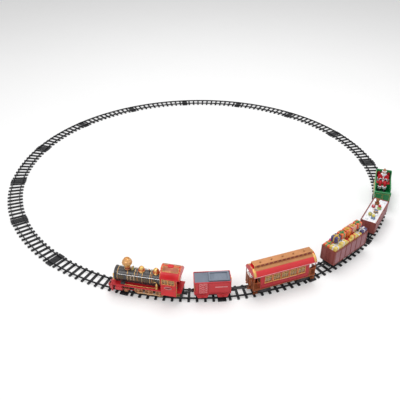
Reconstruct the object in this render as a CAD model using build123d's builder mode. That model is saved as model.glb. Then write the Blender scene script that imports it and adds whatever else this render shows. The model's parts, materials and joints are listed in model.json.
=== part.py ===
from build123d import *
from math import asin, atan2, cos, degrees, hypot, pi, radians, sin, sqrt
import os

# A toy train on a closed loop of track. The loop lies on the floor round the origin, +Z up.
# Each vehicle is drawn in its own frame: +X is the way it travels, +Y points out of the loop,
# and Z = 0 is the floor. It is then set on the loop, where it travels clockwise seen from above.

# track
loop_radius = 807.0
section_count = 16
section_start = 5.51
ties_per_section = 11
tie_length = 62.0
tie_width = 8.0
tie_height = 4.5
plate_width = 14.0
plate_length = 65.0
rail_spacing = 39.0
rail_head_width = 3.0
rail_web_width = 1.6
rail_head_height = 1.8
rail_top = 10.0

# wheels and axles
rail_clearance = 0.3
axle_radius = 1.5
axle_play = 0.05
flange_height = 1.5
flange_width = 1.4
flange_face = rail_spacing / 2 - rail_head_width / 2 - flange_width - 2.0
tread_width = 8.0
wagon_wheel_radius = 7.5
leading_wheel_radius = 8.0
driving_wheel_radius = 14.5
wagon_axle_height = rail_top + rail_clearance + wagon_wheel_radius
leading_axle_height = rail_top + rail_clearance + leading_wheel_radius
driving_axle_height = rail_top + rail_clearance + driving_wheel_radius
wheel_face = flange_face + flange_width + tread_width

# couplings
tongue_length = 14.0
tongue_width = 13.0
tongue_top = 23.0
tongue_thickness = 3.0
peg_reach = 9.0
peg_radius = 2.0
peg_height = 4.5
hinge_reach = 6.0
ring_hole_radius = 3.0
ring_radius = 5.5
drawbar_thickness = 2.5
drawbar_width = 6.0
drawbar_barrel_radius = 2.8
hinge_pin_radius = 1.5
ear_gap = 0.3
ear_thickness = 2.0

# locomotive, x places measured forward from the middle of its wheelbase
locomotive_angle = -102.5
leading_axle_x = 57.5
driving_axle_x = (14.5, -21.5, -57.5)
board_front_x = 101.0
cab_front_x = -65.0
cab_length = 50.0
cab_rear_x = cab_front_x - cab_length
cab_floor_rear_x = -131.5
board_bottom = 42.5
board_thickness = 2.5
board_top = board_bottom + board_thickness
board_width = 62.0
valance_depth = 2.5
cylinder_saddle_width = 7.0
valance_thickness = 2.0
boiler_radius = 22.5
boiler_wall = 1.8
boiler_centre = 69.5
boiler_skirt_width = 26.0
boiler_front_x = 91.0
front_plate_radius = boiler_centre - board_top
front_plate_thickness = 3.5
lens_radius = 6.0
chimney_x = 53.5
chimney_top = 133.0
chimney_radius = 16.5
chimney_neck_radius = 6.0
bell_x = 36.0
bell_radius = 5.0
bell_top = 102.0
dome_x = (6.0, -43.0)
dome_radius = 9.0
dome_top = 110.0
saddle_gap = 0.1
cab_wall = 2.0
cab_bottom = 27.0
cab_eave = 98.0
cab_windows = ((-13.5, 17.0), (-35.5, 19.0))
roof_top = 128.0
roof_overhang = 2.5
roof_rear_overhang = 13.0
roof_wall = 2.0
chassis_width = 27.0
chassis_wall = 2.2
chassis_bottom = 11.5
chassis_floor = 1.4
chassis_front_x = 80.0
chassis_cavity_middle = 2.0
chassis_cavity_length = 132.0
battery_radius = 7.1
battery_length = 50.0
battery_play = 0.3
battery_box_front_x = -76.0
battery_cover_thickness = 1.8
screw_radius = 1.3
screw_head_radius = 2.6
screw_head_height = 1.6
screw_post_x = (73.0, -71.6)
crank_radius = 7.0
crank_pin_radius = 1.2
crank_pin_length = 3.6
rod_gap = 0.5
rod_thickness = 2.0
rod_height = 5.0
rod_play = 0.05
rod_clearance = 0.35
gear_module = 0.7
gear_pressure_angle = 25.0
axle_gear_teeth = 24
pinion_teeth = 12
gear_backlash = 0.16
gear_place = 6.0
gear_width = 3.0
gear_centre_play = 0.05
pinion_direction = 135.0
motor_size = (12.0, 14.0, 10.0)
motor_shaft_radius = 1.0
shaft_play = 0.1
switch_travel = 4.0
switch_width = 5.0

# wagons
chassis_plate_bottom = 27.2
chassis_plate_thickness = 2.3
wagon_floor = chassis_plate_bottom + chassis_plate_thickness
wagon_chassis_bottom = 13.0
guard_width = 18.0
guard_thickness = 2.2
guard_clearance = 0.9
wagon_wall = 2.0

tender_angle = -86.6
tender_length = 120.0
tender_width = 54.0
tender_side_top = 81.0
tender_axle_x = 33.0
tender_deck_drop = 4.0
tender_box_height = 5.0
tender_frame_bottom = 15.0

coach_angle = -69.8
coach_length = 229.0
coach_width = 60.0
coach_body_length = 178.0
coach_side_top = 88.0
coach_roof_width = 66.0
coach_roof_top = 114.0
coach_clerestory_top = 122.0
coach_clerestory_width = 24.0
coach_floor_bottom = 30.0
coach_floor_thickness = 3.0
coach_floor_top = coach_floor_bottom + coach_floor_thickness
bogie_x = 72.0
bogie_axle_x = 18.0
bogie_gap = 0.3
bogie_top = coach_floor_bottom - bogie_gap
bogie_pin_radius = 3.0
railing_height = 30.0
coach_window_height = 24.0
coach_window_width = 24.0
coach_window_x = (61.0, 30.5, 0.0, -30.5, -61.0)
coach_window_drop = 7.0
coach_window_middle = coach_side_top - coach_window_drop - coach_window_height / 2
glazing_thickness = 1.0

gift_angle = -49.6
gift_length = 188.0
gift_width = 57.0
gift_side_top = 86.0
gift_axle_x = 56.0
heap_top = 126.0

toy_angle = -32.2
toy_length = 174.0
toy_width = 57.0
toy_side_top = 76.0
toy_axle_x = 52.0
snow_top = 74.5

sleigh_angle = -16.9
sleigh_length = 150.0
sleigh_width = 62.0
sleigh_front_top = 77.0
sleigh_side_top = 68.0
sleigh_back_top = 100.0
sleigh_axle_x = 45.0
seat_height = 60.0
figure_height = 62.0

load_gap = 0.3
tender_half = tender_length / 2
coach_half = coach_length / 2
gift_half = gift_length / 2
toy_half = toy_length / 2
sleigh_half = sleigh_length / 2


def place_on_loop(angle, axles):
    """Place of a vehicle whose axles lie, on average, over the middle of the track."""
    mean_square = sum(x * x for x in axles) / len(axles)
    reach = sqrt(loop_radius**2 - mean_square)
    turn = radians(angle)
    return Location(Plane(
        origin=(reach * cos(turn), reach * sin(turn), 0),
        x_dir=(sin(turn), -cos(turn), 0),
        z_dir=(0, 0, 1),
    ))


def yaw_on_loop(x):
    """Turn of a bogie that follows the track at x along its coach."""
    return -degrees(asin(x / loop_radius))


locomotive_place = place_on_loop(locomotive_angle, (leading_axle_x,) + driving_axle_x)
tender_place = place_on_loop(tender_angle, (tender_axle_x, -tender_axle_x))
coach_place = place_on_loop(coach_angle, (bogie_x, -bogie_x))
gift_place = place_on_loop(gift_angle, (gift_axle_x, -gift_axle_x))
toy_place = place_on_loop(toy_angle, (toy_axle_x, -toy_axle_x))
sleigh_place = place_on_loop(sleigh_angle, (sleigh_axle_x, -sleigh_axle_x))


def peg_from(towed_place, hinge_x, leading_place, peg_x):
    """Length and turn of the drawbar from a towed vehicle's hinge to the peg ahead of it."""
    peg = (towed_place.inverse() * leading_place * Pos(peg_x, 0, 0)).position
    return hypot(peg.X - hinge_x, peg.Y), degrees(atan2(peg.Y, peg.X - hinge_x))


def keep(name, piece, place):
    """Set a finished piece on the loop, label it and write it."""
    placed = piece.moved(place)
    placed.label = name
    export_step(placed, f"parts/{name}.step")


# ---- track ----

def track_section():
    first = section_start
    arc = 360.0 / section_count
    pitch = arc / (ties_per_section + 1)
    with BuildPart() as section:
        for side in (-0.5, 0.5):
            with BuildSketch(Plane.XZ):
                with Locations((loop_radius + side * rail_spacing, rail_top)):
                    Rectangle(rail_head_width, rail_head_height, align=(Align.CENTER, Align.MAX))
                    Rectangle(rail_web_width, rail_top - tie_height + 1, align=(Align.CENTER, Align.MAX))
            revolve(axis=Axis.Z, revolution_arc=arc)
        middle = loop_radius, 0, tie_height / 2
        for tie in range(1, ties_per_section + 1):
            with BuildSketch(Plane.XY.rotated((0, 0, tie * pitch))):
                with Locations((loop_radius, 0)):
                    Rectangle(tie_length, tie_width)
            extrude(amount=tie_height)
        for end, inward in ((0, 1), (arc, -1)):
            with BuildSketch(Plane.XY.rotated((0, 0, end))):
                with Locations((loop_radius, inward * plate_width / 2)):
                    Rectangle(plate_length, plate_width)
            extrude(amount=tie_height)
    return section.part.rotate(Axis.Z, first)


def track_sections():
    section = track_section()
    arc = 360.0 / section_count
    copies = [section.rotate(Axis.Z, index * arc).solid() for index in range(section_count)]
    return Compound(children=copies)


# ---- shared running gear ----

def wheel_profile(radius, side):
    face, tread = flange_face, flange_face + flange_width
    hub = axle_radius + 2.0
    rim = radius - 1.8
    web = wheel_face - 2.0
    points = [
        (axle_radius, face), (radius + flange_height - 0.5, face), (radius + flange_height, face + 0.5),
        (radius, tread), (radius - 0.2, wheel_face), (rim, wheel_face), (rim, web),
        (hub, web), (hub, wheel_face), (axle_radius, wheel_face),
    ]
    return [(r, side * y) for r, y in points]


def wheel(radius, side, spokes, crank_angle=None):
    with BuildPart() as wheel_part:
        with BuildSketch(Plane.XY):
            with BuildLine():
                Polyline(wheel_profile(radius, side), close=True)
            make_face()
        revolve(axis=Axis.Y)
        hole_ring = (axle_radius + 2.0 + radius - 1.8) / 2
        if spokes:
            hole_radius = min((radius - 1.8 - axle_radius - 2.0) / 2 - 0.5, hole_ring * sin(pi / spokes) - 0.6)
            with BuildSketch(Plane.XZ):
                with PolarLocations(hole_ring, spokes):
                    Circle(hole_radius)
            extrude(amount=wheel_face + 1, both=True, mode=Mode.SUBTRACT)
        if crank_angle is not None:
            turn = radians(crank_angle)
            centre = (crank_radius * cos(turn), crank_radius * sin(turn))
            outer = Plane(origin=(0, side * (wheel_face - 2.5), 0), x_dir=(1, 0, 0), z_dir=(0, side, 0))
            across = centre[1] if outer.y_dir.Z > 0 else -centre[1]
            with BuildSketch(outer):
                with Locations((centre[0], across)):
                    Circle(crank_pin_radius + 1.4)
            extrude(amount=2.5)
            with BuildSketch(outer.offset(2.5)):
                with Locations((centre[0], across)):
                    Circle(crank_pin_radius)
            extrude(amount=crank_pin_length)
    return wheel_part.part


def gear_outline(teeth, first_tooth):
    """Involute teeth on a pitch circle, thinned by the backlash, with a shallow root."""
    pitch_radius = gear_module * teeth / 2
    pressure = radians(gear_pressure_angle)
    base_radius = pitch_radius * cos(pressure)
    tip_radius = pitch_radius + 0.8 * gear_module
    root_radius = pitch_radius - 1.1 * gear_module
    half_tooth = pi / (2 * teeth) - gear_backlash / (2 * pitch_radius)
    roll_pitch = sqrt((pitch_radius / base_radius) ** 2 - 1)
    flank_start = half_tooth + roll_pitch - atan2(roll_pitch, 1)
    roll_root = sqrt((max(root_radius, base_radius) / base_radius) ** 2 - 1)
    roll_tip = sqrt((tip_radius / base_radius) ** 2 - 1)
    flank = [(root_radius, flank_start)] if root_radius < base_radius else []
    for step in range(5):
        roll = roll_root + (roll_tip - roll_root) * step / 4
        radius = base_radius * sqrt(1 + roll * roll)
        flank.append((radius, flank_start - (roll - atan2(roll, 1))))
    points = []
    for tooth in range(teeth):
        middle = radians(first_tooth) + 2 * pi * tooth / teeth
        points += [(r * cos(middle - a), r * sin(middle - a)) for r, a in flank]
        points += [(r * cos(middle + a), r * sin(middle + a)) for r, a in reversed(flank)]
    return points


def gear(teeth, bore, first_tooth):
    """Gear about the Y axis, with a tooth middle at first_tooth degrees from +X towards +Z."""
    side = Plane(origin=(0, gear_place, 0), x_dir=(1, 0, 0), z_dir=(0, -1, 0))
    with BuildPart() as gear_part:
        with BuildSketch(side):
            with BuildLine():
                Polyline(gear_outline(teeth, first_tooth), close=True)
            make_face()
            if bore:
                Circle(bore, mode=Mode.SUBTRACT)
        extrude(amount=-gear_width)
    return gear_part.part


def wheelset(radius, x, height, spokes=0, crank_angle=None, with_gear=False):
    """Axle and two wheels, pressed on, as separate solids."""
    pieces = [wheel(radius, side, spokes, crank_angle) for side in (1, -1)]
    with BuildPart() as axle:
        Cylinder(axle_radius, 2 * wheel_face, rotation=(90, 0, 0))
    pieces.append(axle.part)
    if with_gear:
        pieces.append(gear(axle_gear_teeth, axle_radius, pinion_direction))
    set_place = Pos(x, 0, height)
    return Compound(children=[piece.moved(set_place).solid() for piece in pieces])


def drawbar(hinge_x, length, turn):
    """Bar with a barrel on the hinge pin and a ring that drops over the peg ahead."""
    bottom = tongue_top + rail_clearance
    with BuildPart() as bar:
        with BuildSketch(Plane.XY.offset(bottom)):
            with Locations((length / 2, 0)):
                Rectangle(length, drawbar_width)
            with Locations((length, 0)):
                Circle(ring_radius)
        extrude(amount=drawbar_thickness)
        with Locations((0, 0, bottom + drawbar_thickness / 2)):
            Cylinder(drawbar_barrel_radius, drawbar_width, rotation=(90, 0, 0))
            Cylinder(hinge_pin_radius + axle_play, drawbar_width, rotation=(90, 0, 0), mode=Mode.SUBTRACT)
        with BuildSketch(Plane.XY.offset(bottom)):
            with Locations((length, 0)):
                Circle(ring_hole_radius)
        extrude(amount=drawbar_thickness, mode=Mode.SUBTRACT)
    return bar.part.moved(Location((hinge_x, 0, 0), (0, 0, turn)))


def add_hinge_ears(front_x, hinge_x, turn):
    """Ears and pin for a drawbar, turned towards the peg ahead. Called inside a chassis."""
    pin_height = tongue_top + rail_clearance + drawbar_thickness / 2
    ear_y = drawbar_width / 2 + ear_gap + ear_thickness / 2
    across = Location((hinge_x, 0, pin_height), (0, 0, turn))
    reach = hinge_x - front_x + 3.0
    for side in (1, -1):
        with Locations(across * Location((-reach / 2, side * ear_y, 0))):
            Box(reach, ear_thickness, 2 * drawbar_barrel_radius)
        with Locations(across * Location((0, side * ear_y, 0))):
            Cylinder(drawbar_barrel_radius, ear_thickness, rotation=(90, 0, 0))
    with Locations(across):
        Cylinder(hinge_pin_radius, drawbar_width + 2 * ear_gap + ear_thickness, rotation=(90, 0, 0))


def add_tongue(rear_x, chassis_end):
    """Tongue with an upright peg behind a vehicle. Called inside a chassis."""
    length = chassis_end - rear_x + tongue_length
    with Locations((rear_x - tongue_length, 0, tongue_top)):
        Box(length, tongue_width, tongue_thickness, align=(Align.MIN, Align.CENTER, Align.MAX))
    with Locations((rear_x - peg_reach, 0, tongue_top)):
        Cylinder(peg_radius, peg_height, align=(Align.CENTER, Align.CENTER, Align.MIN))


def wagon_chassis(length, axle_x, hinge_turn, guards=True):
    """Black underframe of a four-wheeled wagon: plate, hollow beam, guards and couplings."""
    half = length / 2
    beam_length = length - 4.0
    beam_height = chassis_plate_bottom - wagon_chassis_bottom
    guard_y = wheel_face + guard_clearance + guard_thickness / 2
    plate_width = 2 * (guard_y + guard_thickness / 2) - 2.0 if guards else 2 * wheel_face
    with BuildPart() as chassis:
        with BuildSketch(Plane.XY.offset(chassis_plate_bottom)):
            Rectangle(length - 2.0, plate_width)
        extrude(amount=chassis_plate_thickness)
        with BuildSketch(Plane.XY.offset(wagon_chassis_bottom)):
            Rectangle(beam_length, chassis_width)
            Rectangle(beam_length - 16.0, chassis_width - 2 * chassis_wall, mode=Mode.SUBTRACT)
        extrude(amount=beam_height)
        for side in (1, -1) if guards else ():
            for x in (axle_x, -axle_x):
                with Locations((x, side * guard_y, wagon_axle_height - 4.0)):
                    Box(guard_width, guard_thickness, wagon_floor - wagon_axle_height + 4.0,
                        align=(Align.CENTER, Align.CENTER, Align.MIN))
        for x in (axle_x, -axle_x):
            with Locations((x, 0, wagon_axle_height)):
                Cylinder(axle_radius + axle_play, chassis_width + 1, rotation=(90, 0, 0), mode=Mode.SUBTRACT)
        add_tongue(-half, -half + 4.0)
        add_hinge_ears(half - 3.0, half + hinge_reach, hinge_turn)
    return chassis.part


def wagon_shell(length, width, top):
    """Open box of a wagon, standing on its underframe."""
    with BuildPart() as shell:
        with BuildSketch(Plane.XY.offset(wagon_floor)):
            RectangleRounded(length, width, 2.0)
        extrude(amount=top - wagon_floor)
        with BuildSketch(Plane.XY.offset(wagon_floor + wagon_wall)):
            RectangleRounded(length - 2 * wagon_wall, width - 2 * wagon_wall, 1.0)
        extrude(amount=top - wagon_floor, mode=Mode.SUBTRACT)
        for x in (-1, 1):
            for y in (-1, 1):
                with Locations((x * (length / 2 - 3.0), y * (width / 2 + 0.4), wagon_floor)):
                    Box(6.0, 0.8, top - wagon_floor, align=(Align.CENTER, Align.CENTER, Align.MIN))
    return shell.part


# ---- locomotive ----

def locomotive_chassis():
    drive_rear_x = battery_box_front_x
    drive_length = chassis_front_x - drive_rear_x
    drive_middle = (chassis_front_x + drive_rear_x) / 2
    height = board_bottom - chassis_bottom
    box_length = battery_length + 2 * battery_play + 2 * chassis_wall
    box_width = 4 * battery_radius + 2 * battery_play + 2 * chassis_wall
    box_middle = battery_box_front_x - box_length / 2
    box_bottom = chassis_bottom + battery_cover_thickness
    motor_x, motor_z = pinion_place()
    with BuildPart() as chassis:
        with BuildSketch(Plane.XY.offset(chassis_bottom)):
            with Locations((drive_middle, 0)):
                Rectangle(drive_length, chassis_width)
        extrude(amount=height)
        with BuildSketch(Plane.XY.offset(chassis_bottom + chassis_floor)):
            with Locations((chassis_cavity_middle, 0)):
                Rectangle(chassis_cavity_length, chassis_width - 2 * chassis_wall)
        extrude(amount=height, mode=Mode.SUBTRACT)
        with Locations((motor_x, gear_place - 2.0 - motor_size[1] / 2, chassis_bottom + chassis_floor)):
            Box(motor_size[0] - 2.0, motor_size[1], motor_z - motor_size[2] / 2 - chassis_bottom - chassis_floor,
                align=(Align.CENTER, Align.CENTER, Align.MIN))
        with BuildSketch(Plane.XY.offset(box_bottom)):
            with Locations((box_middle, 0)):
                Rectangle(box_length, box_width)
        extrude(amount=board_bottom - box_bottom)
        with BuildSketch(Plane.XY.offset(box_bottom)):
            with Locations((box_middle, 0)):
                Rectangle(box_length - 2 * chassis_wall, box_width - 2 * chassis_wall)
        extrude(amount=board_bottom - box_bottom, mode=Mode.SUBTRACT)
        with Locations((leading_axle_x, 0, leading_axle_height)):
            Cylinder(axle_radius + axle_play, chassis_width + 1, rotation=(90, 0, 0), mode=Mode.SUBTRACT)
        for x in driving_axle_x:
            with Locations((x, 0, driving_axle_height)):
                Cylinder(axle_radius + axle_play, chassis_width + 1, rotation=(90, 0, 0), mode=Mode.SUBTRACT)
        for x in screw_post_x:
            with Locations((x, 0, chassis_bottom)):
                Cylinder(screw_head_radius + 0.4, height - 5.0, align=(Align.CENTER, Align.CENTER, Align.MIN),
                         mode=Mode.SUBTRACT)
            with Locations((x, 0, board_bottom)):
                Cylinder(screw_radius + 0.2, 5.0, align=(Align.CENTER, Align.CENTER, Align.MAX), mode=Mode.SUBTRACT)
        add_tongue(cab_floor_rear_x, battery_box_front_x - box_length + chassis_wall)
    return chassis.part


def battery_cover():
    box_length = battery_length + 2 * battery_play + 2 * chassis_wall
    box_width = 4 * battery_radius + 2 * battery_play + 2 * chassis_wall
    with BuildPart() as cover:
        with BuildSketch(Plane.XY.offset(chassis_bottom)):
            with Locations((battery_box_front_x - box_length / 2 - 0.1, 0)):
                Rectangle(box_length, box_width)
        extrude(amount=battery_cover_thickness)
        for x in (-8.0, 8.0):
            with Locations((battery_box_front_x - box_length / 2 + x, 0, chassis_bottom)):
                Box(3.0, box_width - 8.0, 0.8, align=(Align.CENTER, Align.CENTER, Align.MIN), mode=Mode.SUBTRACT)
    return cover.part


def batteries():
    """Four AA cells, two on two, in the box under the cab."""
    middle_x = battery_box_front_x - chassis_wall - battery_play - battery_length / 2
    lowest = chassis_bottom + battery_cover_thickness + battery_radius
    cells = []
    for row in (0, 1):
        for side in (-1, 1):
            with BuildPart() as cell:
                Cylinder(battery_radius, battery_length - 1.5, rotation=(0, 90, 0))
                with Locations((side * (battery_length - 1.5) / 2, 0, 0)):
                    Cylinder(2.6, 1.5, rotation=(0, 90, 0))
            height = lowest + row * 2 * battery_radius
            cells.append(cell.part.moved(Pos(middle_x, side * battery_radius, height)).solid())
    return Compound(children=cells)


def pinion_place():
    reach = gear_module * (axle_gear_teeth + pinion_teeth) / 2 + gear_centre_play
    turn = radians(pinion_direction)
    return driving_axle_x[1] + reach * cos(turn), driving_axle_height + reach * sin(turn)


def motor():
    x, z = pinion_place()
    face = gear_place - 2.0
    with BuildPart() as motor_part:
        with Locations((0, face - motor_size[1] / 2, 0)):
            Box(*motor_size)
        fillet(motor_part.edges().filter_by(Axis.Y), 2.0)
        with Locations((0, face, 0)):
            Cylinder(motor_shaft_radius + shaft_play, 8.0, rotation=(90, 0, 0), mode=Mode.SUBTRACT)
        with Locations((0, face - motor_size[1] - 0.5, 0)):
            Cylinder(3.0, 1.0, rotation=(90, 0, 0))
    return motor_part.part.moved(Pos(x, 0, z))


def motor_pinion():
    x, z = pinion_place()
    first_tooth = pinion_direction + 180.0 + 180.0 / pinion_teeth
    with BuildPart() as pinion:
        add(gear(pinion_teeth, 0, first_tooth))
        with Locations((0, (gear_place - 5.5 + gear_place + gear_width) / 2, 0)):
            Cylinder(motor_shaft_radius, gear_width + 5.5, rotation=(90, 0, 0))
    return pinion.part.moved(Pos(x, 0, z))


def running_board():
    cab_width = board_width - 2 * cab_wall - 2 * saddle_gap
    with BuildPart() as board:
        with BuildSketch(Plane.XY.offset(board_bottom)):
            with Locations(((board_front_x + cab_front_x) / 2, 0)):
                Rectangle(board_front_x - cab_front_x, board_width)
            with Locations(((cab_floor_rear_x + cab_front_x) / 2, 0)):
                Rectangle(cab_front_x - cab_floor_rear_x, cab_width)
        extrude(amount=board_thickness)
        for side in (1, -1):
            with Locations((cab_front_x + 0.1, side * board_width / 2, board_bottom - valance_depth)):
                Box(board_front_x - cab_front_x - 0.1, valance_thickness, valance_depth,
                    align=(Align.MIN, Align.MAX if side > 0 else Align.MIN, Align.MIN))
        for x in screw_post_x:
            with Locations((x, 0, board_bottom)):
                Cylinder(4.0, 9.0, align=(Align.CENTER, Align.CENTER, Align.MIN))
                Cylinder(screw_radius, 7.0, align=(Align.CENTER, Align.CENTER, Align.MIN), mode=Mode.SUBTRACT)
    return board.part


def chassis_screws():
    head_bottom = board_bottom - 5.0 - screw_head_height
    screws = []
    for x in screw_post_x:
        with BuildPart() as screw:
            with Locations((x, 0, head_bottom)):
                Cylinder(screw_head_radius, screw_head_height, align=(Align.CENTER, Align.CENTER, Align.MIN))
            with Locations((x, 0, head_bottom + screw_head_height)):
                Cylinder(screw_radius, 10.0, align=(Align.CENTER, Align.CENTER, Align.MIN))
            with Locations((x, 0, head_bottom)):
                Box(3.2, 0.7, 1.6, mode=Mode.SUBTRACT)
        screws.append(screw.part.solid())
    return Compound(children=screws)


def pilot():
    """Cowcatcher: a wedge that narrows to its tip and slopes down, cut into bars."""
    tip_x = board_front_x + 26.5
    with BuildPart() as wedge:
        with BuildSketch(Plane.XY.offset(rail_top + 2.0)):
            with BuildLine():
                Polyline((board_front_x, -30), (board_front_x + 3, -30), (tip_x, -5), (tip_x, 5),
                         (board_front_x + 3, 30), (board_front_x, 30), close=True)
            make_face()
        extrude(amount=board_top - rail_top - 2.0)
        with BuildSketch(Plane.XZ):
            with BuildLine():
                Polyline((board_front_x + 5, board_top), (tip_x - 2, rail_top + 7), (tip_x, rail_top + 5),
                         (tip_x + 1, board_top + 1), (board_front_x + 5, board_top + 1), close=True)
            make_face()
        extrude(amount=40.0, both=True, mode=Mode.SUBTRACT)
        for bar in range(-4, 5):
            with Locations((tip_x - 6.0 - 2.2 * abs(bar), bar * 6.0, rail_top + 6.0)):
                Box(20.0, 2.2, 14.0, align=(Align.MIN, Align.CENTER, Align.MIN), mode=Mode.SUBTRACT)
    return wedge.part


def draw_boiler_profile(radius, skirt_width):
    """Round boiler on a straight skirt. Called inside a sketch that looks along the locomotive."""
    with Locations((0, boiler_centre)):
        Circle(radius)
    with Locations((0, board_top)):
        Rectangle(skirt_width, boiler_centre - board_top, align=(Align.CENTER, Align.MIN))


def boiler():
    length = boiler_front_x - cab_front_x
    with BuildPart() as shell:
        with BuildSketch(Plane.YZ.offset(cab_front_x)):
            draw_boiler_profile(boiler_radius, boiler_skirt_width)
        extrude(amount=length)
        with BuildSketch(Plane.YZ.offset(cab_front_x)):
            draw_boiler_profile(boiler_radius - boiler_wall, boiler_skirt_width - 2 * boiler_wall)
        extrude(amount=length, mode=Mode.SUBTRACT)
    return shell.part


def smokebox_front():
    with BuildPart() as front:
        with BuildSketch(Plane.YZ.offset(boiler_front_x)):
            draw_boiler_profile(front_plate_radius, boiler_skirt_width)
        extrude(amount=front_plate_thickness)
        face = boiler_front_x + front_plate_thickness
        with BuildSketch(Plane.YZ.offset(face)):
            with Locations((0, boiler_centre)):
                Circle(lens_radius + 2.0)
                Circle(lens_radius + saddle_gap, mode=Mode.SUBTRACT)
        extrude(amount=3.5)
        with BuildSketch(Plane.YZ.offset(face)):
            with Locations((0, boiler_centre)):
                Circle(front_plate_radius)
                Circle(front_plate_radius - 2.0, mode=Mode.SUBTRACT)
        extrude(amount=1.2)
    return front.part


def headlamp_lens():
    face = boiler_front_x + front_plate_thickness
    with BuildPart() as lens:
        with BuildSketch(Plane.YZ.offset(face)):
            with Locations((0, boiler_centre)):
                Circle(lens_radius)
        extrude(amount=5.0)
        fillet(lens.edges().group_by(Axis.X)[-1], 2.4)
    return lens.part


def saddle_cut():
    """Cylinder that a fitting's foot is hollowed by, so that it sits on the boiler."""
    with BuildPart() as cutter:
        with Locations((0, 0, boiler_centre)):
            Cylinder(boiler_radius + saddle_gap, 60.0, rotation=(0, 90, 0))
    return cutter.part


def chimney():
    foot = boiler_centre + boiler_radius - 3.0
    bulge = chimney_top - 14.0
    with BuildPart() as stack:
        with BuildSketch(Plane.XZ):
            with BuildLine():
                outline = Polyline((0, foot), (9.0, foot), (9.0, foot + 4.5), (chimney_neck_radius, foot + 8),
                                   (chimney_neck_radius, foot + 12))
                flare = Spline(outline @ 1, (chimney_neck_radius + 4, foot + 20), (chimney_radius, bulge))
                crown = ThreePointArc(flare @ 1, (chimney_radius - 1.8, bulge + 7), (chimney_radius - 6, bulge + 11))
                Polyline(crown @ 1, (chimney_radius - 6, chimney_top), (chimney_radius - 8, chimney_top),
                         (chimney_radius - 9, bulge + 6), (0, bulge + 6), (0, foot))
            make_face()
        revolve(axis=Axis.Z)
        add(saddle_cut(), mode=Mode.SUBTRACT)
    return stack.part.moved(Pos(chimney_x, 0, 0))


def bell():
    foot = boiler_centre + boiler_radius - 2.0
    with BuildPart() as bell_part:
        with BuildSketch(Plane.XZ):
            with BuildLine():
                rim = Polyline((0, foot), (4.0, foot), (4.0, foot + 3.2), (bell_radius, foot + 3.2),
                               (bell_radius, foot + 4.2))
                side = ThreePointArc(rim @ 1, (bell_radius - 1.6, foot + 7), (bell_radius - 2.6, bell_top - 2))
                Polyline(side @ 1, (1.0, bell_top - 1), (1.0, bell_top), (0, bell_top), (0, foot))
            make_face()
        revolve(axis=Axis.Z)
        for side in (-1, 1):
            with Locations((0, side * (bell_radius + 1.5), foot)):
                Box(2.5, 1.6, bell_top - foot - 1.0, align=(Align.CENTER, Align.CENTER, Align.MIN))
        with Locations((0, 0, foot + 1.6)):
            Box(4.0, 2 * bell_radius + 4.6, 3.2)
        with Locations((0, 0, bell_top - 1.5)):
            Box(2.0, 2 * bell_radius + 4.6, 1.6)
        add(saddle_cut(), mode=Mode.SUBTRACT)
    return bell_part.part.moved(Pos(bell_x, 0, 0))


def boiler_domes():
    foot = boiler_centre + boiler_radius - 3.0
    domes = []
    for x in dome_x:
        with BuildPart() as dome:
            with BuildSketch(Plane.XZ):
                with BuildLine():
                    base = Polyline((0, foot), (dome_radius + 2, foot), (dome_radius + 2, foot + 4),
                                    (dome_radius, foot + 6), (dome_radius, dome_top - dome_radius))
                    ThreePointArc(base @ 1, (dome_radius * cos(pi / 4), dome_top - dome_radius * (1 - sin(pi / 4))),
                                  (0, dome_top))
                    Line((0, dome_top), (0, foot))
                make_face()
            revolve(axis=Axis.Z)
            add(saddle_cut(), mode=Mode.SUBTRACT)
        domes.append(dome.part.moved(Pos(x, 0, 0)).solid())
    return Compound(children=domes)


def roof_outline(half_width, eave, top):
    """Cross section of the cab roof's outer face, from eave to eave."""
    knee = (half_width - 4.0, eave + 0.33 * (top - eave))
    with BuildLine() as line:
        rise = Line((half_width, eave), (half_width, eave + 3))
        left = Line((-half_width, eave), (-half_width, eave + 3))
        Spline(rise @ 1, knee, (0, top), (-knee[0], knee[1]), left @ 1)
        Line((-half_width, eave), (half_width, eave))
    return line


def cab():
    half = board_width / 2
    with BuildPart() as shell:
        with BuildSketch(Plane.XY.offset(cab_bottom)):
            with Locations((cab_front_x - cab_length / 2, 0)):
                Rectangle(cab_length, board_width)
        extrude(amount=cab_eave - cab_bottom)
        with BuildSketch(Plane.XY.offset(board_top)):
            with Locations((cab_front_x - cab_length / 2, 0)):
                Rectangle(cab_length - 2 * cab_wall, board_width - 2 * cab_wall)
        extrude(amount=cab_eave - board_top, mode=Mode.SUBTRACT)
        with BuildSketch(Plane.XY.offset(cab_bottom)):
            with Locations((cab_front_x - cab_length / 2, 0)):
                Rectangle(cab_length + 2, board_width - 2 * cab_wall)
        extrude(amount=board_top - cab_bottom, mode=Mode.SUBTRACT)
        for x, width in cab_windows:
            with Locations((cab_front_x + x, 0, cab_eave - 13.5)):
                Box(width, board_width + 2, 17.0, mode=Mode.SUBTRACT)
        with Locations((cab_rear_x, 0, board_top)):
            Box(4 * cab_wall, 26.0, 34.0, align=(Align.CENTER, Align.CENTER, Align.MIN), mode=Mode.SUBTRACT)
        for y in (-24.5, 24.5):
            with Locations((cab_front_x, y, cab_eave - 14.0)):
                Box(4 * cab_wall, 5.0, 14.0, mode=Mode.SUBTRACT)
    return shell.part


def cab_roof():
    half = board_width / 2 + roof_overhang
    length = cab_length + roof_overhang + roof_rear_overhang
    start = Plane.YZ.offset(cab_rear_x - roof_rear_overhang)
    with BuildPart() as roof:
        with BuildSketch(start):
            add(roof_outline(half, cab_eave, roof_top))
            make_face()
        extrude(amount=length)
        with BuildSketch(start.offset(cab_wall + roof_rear_overhang)):
            add(roof_outline(half - roof_overhang - cab_wall, cab_eave, roof_top - roof_wall * 1.6))
            make_face()
        extrude(amount=cab_length - 2 * cab_wall, mode=Mode.SUBTRACT)
    return roof.part


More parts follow.
